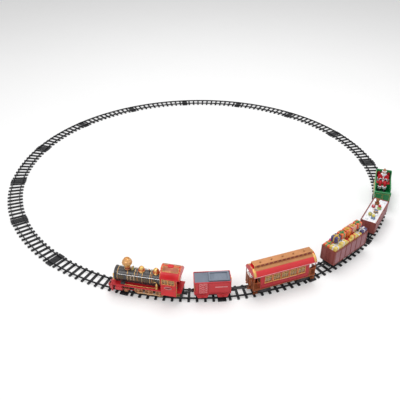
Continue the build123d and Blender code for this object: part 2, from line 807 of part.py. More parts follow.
def cylinders():
    """Cylinder pair under the running board, with their slide bars."""
    blocks = []
    for side in (-1, 1):
        outer_y = side * (board_width / 2 - 4.5)
        with BuildPart() as block:
            with Locations((80.0, outer_y, driving_axle_height)):
                Cylinder(6.0, 22.0, rotation=(0, 90, 0))
            with Locations((80.0, side * (board_width / 2 - valance_thickness), driving_axle_height)):
                Box(20.0, cylinder_saddle_width, board_bottom - driving_axle_height,
                    align=(Align.CENTER, Align.MAX if side > 0 else Align.MIN, Align.MIN))
            with Locations((69.5, side * (wheel_face + rod_gap + 1.2), driving_axle_height)):
                Box(40.0, 1.8, 2.0, align=(Align.MAX, Align.CENTER, Align.CENTER))
        blocks.append(block.part.solid())
    return Compound(children=blocks)


def side_rod(side):
    """Coupling rod on one side, at the crank pins' lowest point."""
    rod_height_z = driving_axle_height - crank_radius
    rod_y = wheel_face + rod_gap
    centre = driving_axle_x[1]
    plane = Plane(origin=(0, side * rod_y, rod_height_z), x_dir=(1, 0, 0), z_dir=(0, side, 0))
    front, rear = driving_axle_x[0], driving_axle_x[2]
    with BuildPart() as rod:
        with BuildSketch(plane):
            with Locations(((front + rear) / 2, 0)):
                Rectangle(front - rear, rod_height - 1.6)
            for x in driving_axle_x:
                with Locations((x, 0)):
                    Circle(rod_height / 2 + 0.6)
            with Locations((centre, 0)):
                Circle(crank_pin_radius + rod_play, mode=Mode.SUBTRACT)
            for x in (front, rear):
                with Locations((x, 0)):
                    Circle(crank_pin_radius + rod_clearance, mode=Mode.SUBTRACT)
        extrude(amount=rod_thickness)
    return rod.part


def power_switch():
    with BuildPart() as switch:
        with Locations((cab_rear_x - 0.6 - saddle_gap, 20.0 - switch_travel / 2, board_top + 12.0)):
            Box(1.2, switch_width, 5.0)
        with Locations((cab_rear_x - 1.2, 20.0 - switch_travel / 2, board_top + 12.0)):
            Box(2.0, 2.0, 3.0, align=(Align.MAX, Align.CENTER, Align.CENTER))
    return switch.part


def build_locomotive():
    place = locomotive_place
    keep("locomotive_chassis", locomotive_chassis(), place)
    keep("battery_cover", battery_cover(), place)
    keep("batteries", batteries(), place)
    keep("motor", motor(), place)
    keep("motor_pinion", motor_pinion(), place)
    keep("chassis_screws", chassis_screws(), place)
    keep("running_board", running_board(), place)
    keep("pilot", pilot(), place)
    keep("boiler", boiler(), place)
    keep("smokebox_front", smokebox_front(), place)
    keep("headlamp_lens", headlamp_lens(), place)
    keep("chimney", chimney(), place)
    keep("bell", bell(), place)
    keep("boiler_domes", boiler_domes(), place)
    keep("cab", cab(), place)
    keep("cab_roof", cab_roof(), place)
    keep("cylinders", cylinders(), place)
    keep("power_switch", power_switch(), place)
    keep("side_rod_left", side_rod(1), place)
    keep("side_rod_right", side_rod(-1), place)
    keep("leading_wheelset", wheelset(leading_wheel_radius, leading_axle_x, leading_axle_height), place)
    names = ("driving_wheelset_front", "driving_wheelset_middle", "driving_wheelset_rear")
    for name, x in zip(names, driving_axle_x):
        geared = x == driving_axle_x[1]
        keep(name, wheelset(driving_wheel_radius, x, driving_axle_height, 8, -90.0, geared), place)


# ---- tender ----

def tender_body():
    half_frame = tender_axle_x
    with BuildPart() as body:
        with BuildSketch(Plane.XY.offset(wagon_floor)):
            RectangleRounded(tender_length, tender_width, 3.0)
        extrude(amount=tender_side_top - wagon_floor)
        with BuildSketch(Plane.XY.offset(wagon_floor + wagon_wall)):
            RectangleRounded(tender_length - 2 * wagon_wall - 2, tender_width - 2 * wagon_wall - 2, 1.5)
        extrude(amount=tender_side_top, mode=Mode.SUBTRACT)
        with BuildSketch(Plane.XY.offset(tender_side_top - tender_deck_drop)):
            RectangleRounded(tender_length - 2 * wagon_wall, tender_width - 2 * wagon_wall, 2.0)
        extrude(amount=tender_deck_drop + 1, mode=Mode.SUBTRACT)
        frame_y = tender_width / 2 - guard_thickness / 2
        for side in (1, -1):
            for x in (half_frame, -half_frame):
                with BuildSketch(Plane.XZ.offset(-side * frame_y)):
                    with BuildLine():
                        Polyline((x - 21, wagon_floor), (x + 21, wagon_floor), (x + 15, tender_frame_bottom),
                                 (x - 15, tender_frame_bottom), close=True)
                    make_face()
                extrude(amount=guard_thickness / 2, both=True)
    return body.part


def tender_deck():
    """Grey top: a flat front third and a raised box behind it."""
    bottom = tender_side_top - tender_deck_drop
    length = tender_length - 2 * wagon_wall - 2 * saddle_gap
    width = tender_width - 2 * wagon_wall - 2 * saddle_gap
    box_length = length * 0.58
    with BuildPart() as deck:
        with BuildSketch(Plane.XY.offset(bottom)):
            RectangleRounded(length, width, 2.0)
        extrude(amount=2.0)
        with BuildSketch(Plane.XY.offset(bottom + 2.0)):
            with Locations((-length / 2 + box_length / 2 + 3.0, 0)):
                RectangleRounded(box_length, width - 6.0, 2.5)
        extrude(amount=tender_box_height, taper=6.0)
        with BuildSketch(Plane.XY.offset(bottom + 2.0 + tender_box_height)):
            with Locations((-length / 2 + box_length / 2 + 3.0, 0)):
                RectangleRounded(box_length - 12.0, width - 18.0, 1.5)
        extrude(amount=-2.5, mode=Mode.SUBTRACT)
    return deck.part


def build_four_wheeler(name, length, axle_x, place, ahead_place, ahead_peg_x):
    """Underframe, wheelsets and drawbar of a four-wheeled vehicle."""
    hinge_x = length / 2 + hinge_reach
    bar_length, bar_turn = peg_from(place, hinge_x, ahead_place, ahead_peg_x)
    keep(f"{name}_chassis", wagon_chassis(length, axle_x, bar_turn, name != "tender"), place)
    keep(f"{name}_drawbar", drawbar(hinge_x, bar_length, bar_turn), place)
    for end, x in (("front", axle_x), ("rear", -axle_x)):
        keep(f"{name}_wheelset_{end}", wheelset(wagon_wheel_radius, x, wagon_axle_height), place)


def build_tender():
    keep("tender_body", tender_body(), tender_place)
    keep("tender_deck", tender_deck(), tender_place)
    build_four_wheeler("tender", tender_length, tender_axle_x, tender_place,
                       locomotive_place, cab_floor_rear_x - peg_reach)


# ---- coach ----

def coach_body():
    height = coach_side_top - coach_floor_top
    with BuildPart() as body:
        with BuildSketch(Plane.XY.offset(coach_floor_top)):
            Rectangle(coach_body_length, coach_width)
            Rectangle(coach_body_length - 2 * wagon_wall, coach_width - 2 * wagon_wall, mode=Mode.SUBTRACT)
        extrude(amount=height)
        for x in coach_window_x:
            with Locations((x, 0, coach_window_middle)):
                Box(coach_window_width, coach_width + 2, coach_window_height, mode=Mode.SUBTRACT)
        with Locations((0, 0, coach_floor_top)):
            Box(coach_body_length + 2, 14.0, 30.0, align=(Align.CENTER, Align.CENTER, Align.MIN),
                mode=Mode.SUBTRACT)
    return body.part


def coach_glazing():
    """Strip of clear panes inside each side."""
    inner_y = coach_width / 2 - wagon_wall
    strips = []
    for side in (1, -1):
        with BuildPart() as strip:
            with Locations((0, side * inner_y, coach_window_middle)):
                Box(coach_body_length - 2 * wagon_wall - 2, glazing_thickness, coach_window_height + 4.0,
                    align=(Align.CENTER, Align.MAX if side > 0 else Align.MIN, Align.CENTER))
        strips.append(strip.part.solid())
    return Compound(children=strips)


def coach_floor(hinge_turn):
    """Floor with two open balconies, their railings, steps and the couplings."""
    half = coach_half
    with BuildPart() as floor:
        with BuildSketch(Plane.XY.offset(coach_floor_bottom)):
            Rectangle(coach_length, coach_width)
        extrude(amount=coach_floor_thickness)
        for end in (1, -1):
            rail_x = end * (half - 1.5)
            with Locations((rail_x, 0, coach_floor_top + railing_height - 2.5)):
                Box(2.0, coach_width, 2.5, align=(Align.CENTER, Align.CENTER, Align.MIN))
            for y in (-28.0, -20.0, -12.0, 12.0, 20.0, 28.0):
                with Locations((rail_x, y, coach_floor_top)):
                    Box(2.0, 2.0, railing_height, align=(Align.CENTER, Align.CENTER, Align.MIN))
            for y in (-20.0, 20.0):
                with Locations((rail_x, y, coach_floor_top)):
                    Box(1.2, 16.0, railing_height - 6.0, align=(Align.CENTER, Align.CENTER, Align.MIN))
            for side in (1, -1):
                post_height = coach_side_top - coach_floor_top
                with Locations((rail_x, side * (coach_width / 2 - 1.0), coach_floor_top)):
                    Box(2.0, 2.0, post_height, align=(Align.CENTER, Align.CENTER, Align.MIN))
            with Locations((end * bogie_x, 0, coach_floor_bottom)):
                Cylinder(bogie_pin_radius, 6.0, align=(Align.CENTER, Align.CENTER, Align.MAX))
            with Locations((end * (half - 7.0), 0, coach_floor_bottom)):
                Box(14.0, tongue_width, coach_floor_bottom - tongue_top + tongue_thickness,
                    align=(Align.CENTER, Align.CENTER, Align.MAX))
        add_tongue(-half, -half + 4.0)
        add_hinge_ears(half - 3.0, half + hinge_reach, hinge_turn)
    return floor.part


def coach_roof():
    half = coach_roof_width / 2
    start = Plane.YZ.offset(-coach_half)
    rise = coach_roof_top - coach_side_top
    with BuildPart() as roof:
        with BuildSketch(start):
            with BuildLine():
                Line((half, coach_side_top), (-half, coach_side_top))
                left = Line((-half, coach_side_top), (-half, coach_side_top + 3))
                right = Line((half, coach_side_top), (half, coach_side_top + 3))
                ThreePointArc(left @ 1, (0, coach_roof_top), right @ 1)
            make_face()
        extrude(amount=coach_length)
        with BuildSketch(start.offset(8.0)):
            with Locations((0, coach_roof_top - 6.0)):
                Rectangle(coach_clerestory_width, coach_clerestory_top - coach_roof_top + 6.0,
                          align=(Align.CENTER, Align.MIN))
        extrude(amount=coach_length - 16.0)
        with BuildSketch(start.offset(coach_half - coach_body_length / 2)):
            with BuildLine():
                inner = half - 6.0
                Line((inner, coach_side_top), (-inner, coach_side_top))
                ThreePointArc((-inner, coach_side_top), (0, coach_roof_top - 4.0), (inner, coach_side_top))
            make_face()
        extrude(amount=coach_body_length, mode=Mode.SUBTRACT)
    return roof.part


def coach_bogie(end):
    """Bogie frame between its wheels, with outer side frames, turned to follow the track."""
    beam_height = 11.0
    side_y = wheel_face + guard_clearance + guard_thickness / 2
    with BuildPart() as bogie:
        with BuildSketch(Plane.XY.offset(bogie_top - beam_height)):
            Rectangle(2 * bogie_axle_x + 12.0, chassis_width)
            with Locations((bogie_axle_x, 0), (-bogie_axle_x, 0)):
                Rectangle(14.0, chassis_width - 2 * chassis_wall, mode=Mode.SUBTRACT)
        extrude(amount=beam_height)
        with BuildSketch(Plane.XY.offset(bogie_top - beam_height)):
            Rectangle(11.0, 2 * side_y)
        extrude(amount=beam_height - 1.0)
        for side in (1, -1):
            with BuildSketch(Plane.XZ.offset(-side * side_y)):
                with BuildLine():
                    Polyline((-25, bogie_top - 4), (-25, 17), (-11, 17), (-7, 14.5), (7, 14.5), (11, 17),
                             (25, 17), (25, bogie_top - 4), (12, bogie_top - 1), (-12, bogie_top - 1), close=True)
                make_face()
            extrude(amount=guard_thickness / 2, both=True)
        with Locations((0, 0, bogie_top)):
            Cylinder(bogie_pin_radius + 2 * axle_play, 7.0, align=(Align.CENTER, Align.CENTER, Align.MAX),
                     mode=Mode.SUBTRACT)
        for x in (bogie_axle_x, -bogie_axle_x):
            with Locations((x, 0, wagon_axle_height)):
                Cylinder(axle_radius + axle_play, chassis_width + 1, rotation=(90, 0, 0), mode=Mode.SUBTRACT)
    return bogie.part.moved(bogie_location(end))


def bogie_location(end):
    return Location((end * bogie_x, 0, 0), (0, 0, yaw_on_loop(end * bogie_x)))


def build_coach():
    hinge_x = coach_half + hinge_reach
    bar_length, bar_turn = peg_from(coach_place, hinge_x, tender_place, -tender_half - peg_reach)
    keep("coach_body", coach_body(), coach_place)
    keep("coach_glazing", coach_glazing(), coach_place)
    keep("coach_roof", coach_roof(), coach_place)
    keep("coach_floor", coach_floor(bar_turn), coach_place)
    keep("coach_drawbar", drawbar(hinge_x, bar_length, bar_turn), coach_place)
    number = 1
    for end, name in ((1, "front"), (-1, "rear")):
        keep(f"coach_bogie_{name}", coach_bogie(end), coach_place)
        for x in (bogie_axle_x, -bogie_axle_x):
            axle_set = wheelset(wagon_wheel_radius, x, wagon_axle_height)
            keep(f"coach_wheelset_{number}", axle_set.moved(bogie_location(end)), coach_place)
            number += 1


# ---- gift wagon ----

def gift_boxes():
    """Wrapped boxes packed in two rows, with a top layer, standing on the wagon's floor."""
    bottom = wagon_floor + wagon_wall
    inner_length = gift_length - 2 * wagon_wall - 2 * load_gap
    inner_width = gift_width - 2 * wagon_wall - 2 * load_gap
    tops = ((96, 106, 92, 102, 98, 94), (98, 92, 104, 96, 106, 100))
    columns = len(tops[0])
    pitch = inner_length / columns
    boxes = []
    for row, heights in enumerate(tops):
        y = (row - 0.5) * inner_width / 2
        for column, top in enumerate(heights):
            x = -inner_length / 2 + (column + 0.5) * pitch
            with BuildPart() as box:
                with Locations((x, y, bottom)):
                    Box(pitch - load_gap, inner_width / 2 - load_gap, top - bottom,
                        align=(Align.CENTER, Align.CENTER, Align.MIN))
            boxes.append(box.part.solid())
    for column in range(columns - 1):
        x = -inner_length / 2 + (column + 1) * pitch
        rest = max(tops[0][column], tops[0][column + 1], tops[1][column], tops[1][column + 1])
        with BuildPart() as box:
            with Locations((x, 0, rest)):
                Box(pitch - 6.0, 24.0, heap_top - rest, align=(Align.CENTER, Align.CENTER, Align.MIN))
        boxes.append(box.part.solid())
    return Compound(children=boxes)


def build_gift_wagon():
    keep("gift_wagon_body", wagon_shell(gift_length, gift_width, gift_side_top), gift_place)
    keep("gift_boxes", gift_boxes(), gift_place)
    build_four_wheeler("gift_wagon", gift_length, gift_axle_x, gift_place, coach_place, -coach_half - peg_reach)


# ---- toy wagon ----

def toy_bear():
    with BuildPart() as bear:
        with Locations((0, 0, 6.5)):
            Sphere(8.0)
        with Locations((0, 0, 18.0)):
            Sphere(6.0)
        with Locations((0, 5.0, 23.0), (0, -5.0, 23.0), (5.5, 6.0, 3.5), (5.5, -6.0, 3.5)):
            Sphere(2.8)
        split(bisect_by=Plane.XY)
    return bear.part


def toy_drum():
    with BuildPart() as drum:
        Cylinder(8.0, 12.0, align=(Align.CENTER, Align.CENTER, Align.MIN))
        chamfer(drum.edges().group_by(Axis.Z)[-1], 0.8)
    return drum.part


def toy_ball():
    with BuildPart() as ball:
        with Locations((0, 0, 7.0)):
            Sphere(7.5)
        split(bisect_by=Plane.XY)
    return ball.part


def toy_blocks():
    with BuildPart() as blocks:
        Box(14.0, 14.0, 9.0, align=(Align.CENTER, Align.CENTER, Align.MIN))
        with Locations((0, 0, 9.0)):
            Box(9.0, 9.0, 8.0, rotation=(0, 0, 30), align=(Align.CENTER, Align.CENTER, Align.MIN))
    return blocks.part


def toy_wagon_load():
    """Snow-white bed with toys standing on it."""
    with BuildPart() as bed:
        with BuildSketch(Plane.XY.offset(wagon_floor + wagon_wall)):
            Rectangle(toy_length - 2 * wagon_wall - 2 * load_gap, toy_width - 2 * wagon_wall - 2 * load_gap)
        extrude(amount=snow_top - wagon_floor - wagon_wall)
    toys = (
        (toy_bear(), -48.0, -6.0), (toy_ball(), -18.0, -12.0), (toy_blocks(), -20.0, 10.0),
        (toy_drum(), 12.0, 6.0), (toy_ball(), 40.0, -8.0), (toy_blocks(), 56.0, 8.0),
    )
    solids = [bed.part.solid()]
    solids += [toy.moved(Pos(x, y, snow_top)).solid() for toy, x, y in toys]
    return Compound(children=solids)


def build_toy_wagon():
    keep("toy_wagon_body", wagon_shell(toy_length, toy_width, toy_side_top), toy_place)
    keep("toy_wagon_load", toy_wagon_load(), toy_place)
    build_four_wheeler("toy_wagon", toy_length, toy_axle_x, toy_place, gift_place, -gift_half - peg_reach)


# ---- sleigh wagon ----

def sleigh_body():
    """Sleigh-shaped tub: low sides, a scrolled front and a tall back."""
    half = sleigh_half
    with BuildPart() as tub:
        with BuildSketch(Plane.XZ):
            with BuildLine():
                base = Polyline((-half, wagon_floor), (half, wagon_floor), (half, sleigh_front_top))
                front = Line(base @ 1, (half - 8, sleigh_front_top))
                side = Spline(front @ 1, (half - 22, sleigh_side_top), (0, sleigh_side_top),
                              (-half + 40, sleigh_side_top + 8), (-half + 16, sleigh_back_top))
                Polyline(side @ 1, (-half, sleigh_back_top), (-half, wagon_floor))
            make_face()
        extrude(amount=sleigh_width / 2, both=True)
        with BuildSketch(Plane.XZ):
            with BuildLine():
                Polyline((-half + 6, wagon_floor + wagon_wall), (half - 6, wagon_floor + wagon_wall),
                         (half - 6, sleigh_back_top + 10), (-half + 6, sleigh_back_top + 10), close=True)
            make_face()
        extrude(amount=sleigh_width / 2 - wagon_wall, both=True, mode=Mode.SUBTRACT)
        with Locations((-half + 6, 0, wagon_floor)):
            Box(46.0, sleigh_width - wagon_wall, seat_height - wagon_floor,
                align=(Align.MIN, Align.CENTER, Align.MIN))
    return tub.part


def seated_figure():
    """Generic seated figure in a winter coat, simplified for its size and mass."""
    seat_x = -sleigh_half + 6 + load_gap
    with BuildPart() as figure:
        with BuildSketch(Plane.XY.offset(seat_height)):
            with Locations((seat_x + 18.5, 0)):
                Ellipse(16.5, 24)
        with BuildSketch(Plane.XY.offset(seat_height + 0.45 * figure_height)):
            with Locations((seat_x + 15, 0)):
                Ellipse(13, 21)
        with BuildSketch(Plane.XY.offset(seat_height + 0.62 * figure_height)):
            with Locations((seat_x + 15, 0)):
                Ellipse(9, 13)
        loft()
        with Locations((seat_x + 16, 0, seat_height + 0.72 * figure_height)):
            Sphere(12.0)
        with Locations((seat_x + 15, 0, seat_height + 0.78 * figure_height)):
            Cone(11.0, 5.0, 0.22 * figure_height, align=(Align.CENTER, Align.CENTER, Align.MIN))
        for y in (-9.0, 9.0):
            with Locations((seat_x + 14, y, seat_height)):
                Box(40.0, 13.0, 13.0, align=(Align.MIN, Align.CENTER, Align.MIN))
            with Locations((seat_x + 48, y, wagon_floor + wagon_wall + load_gap)):
                Box(10.0, 11.0, seat_height - wagon_floor - wagon_wall + 8.0,
                    align=(Align.MIN, Align.CENTER, Align.MIN))
            with Locations((seat_x + 48, y, wagon_floor + wagon_wall + load_gap)):
                Box(17.0, 12.0, 7.0, align=(Align.MIN, Align.CENTER, Align.MIN))
    return figure.part


def build_sleigh_wagon():
    keep("sleigh_body", sleigh_body(), sleigh_place)
    keep("seated_figure", seated_figure(), sleigh_place)
    build_four_wheeler("sleigh", sleigh_length, sleigh_axle_x, sleigh_place, toy_place, -toy_half - peg_reach)


os.makedirs("parts", exist_ok=True)
keep("track_sections", track_sections(), Location())
build_locomotive()
build_tender()
build_coach()
build_gift_wagon()
build_toy_wagon()
build_sleigh_wagon()
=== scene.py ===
import bpy
import bmesh
import json
from math import cos, pi, radians, sin
from mathutils import Matrix, Vector, noise


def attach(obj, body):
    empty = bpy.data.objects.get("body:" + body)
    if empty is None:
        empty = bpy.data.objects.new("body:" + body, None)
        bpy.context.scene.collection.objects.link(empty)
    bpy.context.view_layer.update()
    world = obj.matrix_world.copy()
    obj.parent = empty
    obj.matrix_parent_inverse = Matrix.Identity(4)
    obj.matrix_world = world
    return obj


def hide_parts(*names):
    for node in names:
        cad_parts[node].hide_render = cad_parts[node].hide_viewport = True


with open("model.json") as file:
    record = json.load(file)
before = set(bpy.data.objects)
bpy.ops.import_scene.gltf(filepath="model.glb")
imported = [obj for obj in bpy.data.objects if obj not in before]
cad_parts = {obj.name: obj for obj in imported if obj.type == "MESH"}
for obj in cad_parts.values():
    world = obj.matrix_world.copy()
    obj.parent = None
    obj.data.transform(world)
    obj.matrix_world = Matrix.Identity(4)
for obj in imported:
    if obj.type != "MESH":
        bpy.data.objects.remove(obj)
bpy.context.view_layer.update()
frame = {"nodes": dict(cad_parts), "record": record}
record = frame["record"]
joints = {joint["name"]: joint for joint in record["behaviour"]["joints"]}
print("stage: frame loaded")

# The camera: aim and distance in metres, angles in degrees, lens in millimetres.

cameraValues = {
    "aim": (0.0100, -0.2355, 0.0),
    "distance": 2.1696,
    "elevation": 33.532,
    "roll": -0.3366,
    "lens": 46.125,
}


def addCamera(values):
    lift, roll = radians(values["elevation"]), radians(values["roll"])
    back = Vector((0, -cos(lift), sin(lift)))
    right = Vector((1, 0, 0))
    up = right.cross(-back)
    turnedRight = right * cos(roll) + up * sin(roll)
    turnedUp = up * cos(roll) - right * sin(roll)
    data = bpy.data.cameras.new("camera")
    data.lens = values["lens"]
    data.sensor_width = 36.0
    data.clip_end = 50.0
    camera = bpy.data.objects.new("camera", data)
    matrix = Matrix((turnedRight, turnedUp, back)).transposed().to_4x4()
    matrix.translation = Vector(values["aim"]) + back * values["distance"]
    camera.matrix_world = matrix
    bpy.context.collection.objects.link(camera)
    bpy.context.scene.camera = camera


addCamera(cameraValues)
print("stage: camera")


def newMaterial(name):
    material = bpy.data.materials.new(name)
    material.use_nodes = True
    tree = material.node_tree
    tree.nodes.clear()
    output = tree.nodes.new("ShaderNodeOutputMaterial")
    shader = tree.nodes.new("ShaderNodeBsdfPrincipled")
    tree.links.new(shader.outputs["BSDF"], output.inputs["Surface"])
    return material, tree, shader


def addNode(tree, kind, **values):
    node = tree.nodes.new(kind)
    for name, value in values.items():
        setattr(node, name, value)
    return node


def noiseNode(tree, scale, detail=4.0, roughness=0.55):
    place = addNode(tree, "ShaderNodeTexCoord")
    texture = addNode(tree, "ShaderNodeTexNoise")
    texture.inputs["Scale"].default_value = scale
    texture.inputs["Detail"].default_value = detail
    texture.inputs["Roughness"].default_value = roughness
    tree.links.new(place.outputs["Object"], texture.inputs["Vector"])
    return texture


def rampNode(tree, source, stops):
    ramp = addNode(tree, "ShaderNodeValToRGB")
    elements = ramp.color_ramp.elements
    while len(elements) < len(stops):
        elements.new(0.5)
    for element, (position, colour) in zip(elements, stops):
        element.position = position
        element.color = (*colour, 1.0)
    tree.links.new(source, ramp.inputs["Fac"])
    return ramp


def shaded(colour, factor):
    return tuple(min(1.0, c * factor) for c in colour[:3])


def mixColours(tree, factor, first, second, mode="MIX"):
    mix = addNode(tree, "ShaderNodeMix", data_type="RGBA", blend_type=mode)
    if hasattr(factor, "links"):
        tree.links.new(factor, mix.inputs["Factor"])
    else:
        mix.inputs["Factor"].default_value = factor
    for value, socket in ((first, mix.inputs["A"]), (second, mix.inputs["B"])):
        if hasattr(value, "links"):
            tree.links.new(value, socket)
        else:
            socket.default_value = (*value[:3], 1.0)
    return mix.outputs["Result"]


def edgeWear(tree, amount):
    # Brighter where the surface turns a sharp outer corner.
    geometry = addNode(tree, "ShaderNodeNewGeometry")
    ramp = rampNode(tree, geometry.outputs["Pointiness"],
                    [(0.52, (0, 0, 0)), (0.62, (amount, amount, amount))])
    return ramp.outputs["Color"]


def addBump(tree, shader, texture, strength, distance):
    bump = addNode(tree, "ShaderNodeBump")
    bump.inputs["Strength"].default_value = strength
    bump.inputs["Distance"].default_value = distance
    tree.links.new(texture.outputs["Fac"], bump.inputs["Height"])
    tree.links.new(bump.outputs["Normal"], shader.inputs["Normal"])


def plastic(name, colour, rough=0.38, grain=0.06, mottle=0.14, metal=0.0, coat=0.1, wear=0.35,
            wearColour=None, grainScale=900.0):
    material, tree, shader = newMaterial(name)
    broad = noiseNode(tree, 28.0, 5.0)
    ramp = rampNode(tree, broad.outputs["Fac"], [
        (0.25, shaded(colour, 1.0 - mottle)), (0.55, colour), (0.8, shaded(colour, 1.0 + mottle))])
    edge = edgeWear(tree, wear)
    worn = wearColour or shaded([c + 0.08 for c in colour], 1.35)
    tree.links.new(mixColours(tree, edge, ramp.outputs["Color"], worn), shader.inputs["Base Color"])
    fine = noiseNode(tree, grainScale, 3.0)
    roughRamp = rampNode(tree, noiseNode(tree, 120.0).outputs["Fac"],
                         [(0.3, (rough * 0.8,) * 3), (0.7, (min(1.0, rough * 1.25),) * 3)])
    tree.links.new(roughRamp.outputs["Color"], shader.inputs["Roughness"])
    addBump(tree, shader, fine, grain, 0.0006)
    shader.inputs["Metallic"].default_value = metal
    shader.inputs["Coat Weight"].default_value = coat
    shader.inputs["Coat Roughness"].default_value = 0.18
    shader.inputs["Specular IOR Level"].default_value = 0.22
    return material


def metalPaint(name, colour, rough=0.3, mottle=0.2):
    return plastic(name, colour, rough=rough, grain=0.1, mottle=mottle, metal=0.85, coat=0.15, wear=0.3,
                   wearColour=shaded(colour, 1.5), grainScale=500.0)


def clearGlass(name, colour, alpha):
    material, tree, shader = newMaterial(name)
    smear = noiseNode(tree, 60.0)
    ramp = rampNode(tree, smear.outputs["Fac"], [(0.3, (0.05,) * 3), (0.8, (0.2,) * 3)])
    tree.links.new(ramp.outputs["Color"], shader.inputs["Roughness"])
    tint = rampNode(tree, smear.outputs["Fac"], [(0.2, shaded(colour, 0.9)), (0.9, colour)])
    tree.links.new(tint.outputs["Color"], shader.inputs["Base Color"])
    shader.inputs["Alpha"].default_value = alpha
    shader.inputs["IOR"].default_value = 1.45
    return material


def wrapPaper(name, colour, accent, pattern, scale=120.0):
    # Printed gift wrap: stripes, dots or a plain foil, with creases.
    material, tree, shader = newMaterial(name)
    place = addNode(tree, "ShaderNodeTexCoord")
    if pattern == "stripes":
        texture = addNode(tree, "ShaderNodeTexWave", bands_direction="DIAGONAL")
        texture.inputs["Scale"].default_value = scale
        tree.links.new(place.outputs["Object"], texture.inputs["Vector"])
        source, low, high = texture.outputs["Fac"], 0.62, 0.68
    elif pattern == "dots":
        texture = addNode(tree, "ShaderNodeTexVoronoi")
        texture.inputs["Scale"].default_value = scale
        texture.inputs["Randomness"].default_value = 0.3
        tree.links.new(place.outputs["Object"], texture.inputs["Vector"])
        source, low, high = texture.outputs["Distance"], 0.22, 0.27
    else:
        texture = noiseNode(tree, scale)
        source, low, high = texture.outputs["Fac"], 0.6, 0.75
    first, second = (accent, colour) if pattern == "dots" else (colour, accent)
    ramp = rampNode(tree, source, [(low, first), (high, second)])
    tree.links.new(ramp.outputs["Color"], shader.inputs["Base Color"])
    crease = noiseNode(tree, 55.0, 8.0, 0.7)
    addBump(tree, shader, crease, 0.35, 0.0012)
    shader.inputs["Roughness"].default_value = 0.34
    shader.inputs["Coat Weight"].default_value = 0.3
    return material


def snowFinish(name):
    material, tree, shader = newMaterial(name)
    broad = noiseNode(tree, 40.0)
    ramp = rampNode(tree, broad.outputs["Fac"], [(0.25, (0.78, 0.81, 0.88)), (0.6, (0.95, 0.95, 0.97))])
    tree.links.new(ramp.outputs["Color"], shader.inputs["Base Color"])
    fine = noiseNode(tree, 420.0, 6.0, 0.75)
    addBump(tree, shader, fine, 0.6, 0.0015)
    shader.inputs["Roughness"].default_value = 0.75
    shader.inputs["Subsurface Weight"].default_value = 0.1
    shader.inputs["Subsurface Radius"].default_value = (0.002, 0.002, 0.003)
    return material


colours = {
    "trackBlack": (0.018, 0.018, 0.02),
    "frameBlack": (0.02, 0.02, 0.022),
    "boilerBlack": (0.018, 0.015, 0.016),
    "locoRed": (0.55, 0.012, 0.02),
    "cabRed": (0.66, 0.006, 0.012),
    "gold": (0.62, 0.38, 0.13),
    "copper": (0.56, 0.24, 0.09),
    "brass": (0.66, 0.43, 0.14),
    "coneRed": (0.6, 0.09, 0.02),
    "neckRed": (0.22, 0.012, 0.015),
    "silver": (0.62, 0.63, 0.65),
    "deckGrey": (0.17, 0.2, 0.255),
    "coachRed": (0.5, 0.014, 0.024),
    "roofRed": (0.62, 0.006, 0.014),
    "clerestory": (0.42, 0.19, 0.08),
    "pink": (0.86, 0.42, 0.42),
    "railBrown": (0.34, 0.1, 0.035),
    "goodsRed": (0.24, 0.045, 0.035),
    "lilac": (0.34, 0.13, 0.15),
    "green": (0.004, 0.2, 0.055),
    "leafGreen": (0.03, 0.3, 0.09),
    "coat": (0.5, 0.012, 0.022),
    "skin": (0.78, 0.45, 0.3),
    "white": (0.86, 0.86, 0.88),
    "boot": (0.012, 0.012, 0.013),
}

trackBlack = plastic("trackBlack", colours["trackBlack"], rough=0.5, grain=0.12, coat=0.0, wear=0.25,
                     wearColour=(0.09, 0.09, 0.1))
frameBlack = plastic("frameBlack", colours["frameBlack"], rough=0.48, grain=0.1, coat=0.05, wear=0.3,
                     wearColour=(0.1, 0.1, 0.11))
boilerBlack = plastic("boilerBlack", colours["boilerBlack"], rough=0.24, grain=0.04, coat=0.25)
frontBlack = plastic("frontBlack", (0.03, 0.03, 0.032), rough=0.42, grain=0.1, coat=0.1)
locoRed = plastic("locoRed", colours["locoRed"], rough=0.33)
cabRed = plastic("cabRed", colours["cabRed"], rough=0.32)
gold = metalPaint("gold", colours["gold"])
darkGold = metalPaint("darkGold", (0.2, 0.13, 0.05), rough=0.42)
paleGold = plastic("paleGold", (0.72, 0.55, 0.42), rough=0.4, wear=0.1)
rodGold = plastic("rodGold", (0.66, 0.42, 0.22), rough=0.32, metal=0.4)
roofCopper = plastic("roofCopper", (0.42, 0.12, 0.06), rough=0.36, metal=0.2)
redLine = plastic("redLine", (0.62, 0.1, 0.1), rough=0.4, wear=0.1)
darkLine = plastic("darkLine", (0.26, 0.012, 0.018), rough=0.4, wear=0.1)
copper = metalPaint("copper", colours["copper"], rough=0.32)
brass = metalPaint("brass", colours["brass"], rough=0.28)
bellGold = metalPaint("bellGold", (0.4, 0.38, 0.16), rough=0.36)
coneRed = plastic("coneRed", colours["coneRed"], rough=0.36)
neckRed = plastic("neckRed", colours["neckRed"], rough=0.4)
silver = metalPaint("silver", colours["silver"], rough=0.25, mottle=0.08)
deckGrey = plastic("deckGrey", colours["deckGrey"], rough=0.42)
coachRed = plastic("coachRed", colours["coachRed"], rough=0.36)
roofRed = plastic("roofRed", colours["roofRed"], rough=0.36)
clerestoryPaint = metalPaint("clerestoryPaint", colours["clerestory"], rough=0.42)
# Pink for real trim, and also for the painted highlight strips along the coach's eave and under its windows.
pinkTrimAndHighlight = plastic("pinkTrimAndHighlight", colours["pink"], rough=0.4, wear=0.1)
railBrown = metalPaint("railBrown", colours["railBrown"], rough=0.42)
goodsRed = plastic("goodsRed", colours["goodsRed"], rough=0.42)
lilac = plastic("lilac", colours["lilac"], rough=0.45, wear=0.2)
sleighGreen = plastic("sleighGreen", colours["green"], rough=0.3)
leafGreen = plastic("leafGreen", colours["leafGreen"], rough=0.36)
coatRed = plastic("coatRed", colours["coat"], rough=0.55, grain=0.3, grainScale=700.0, coat=0.0)
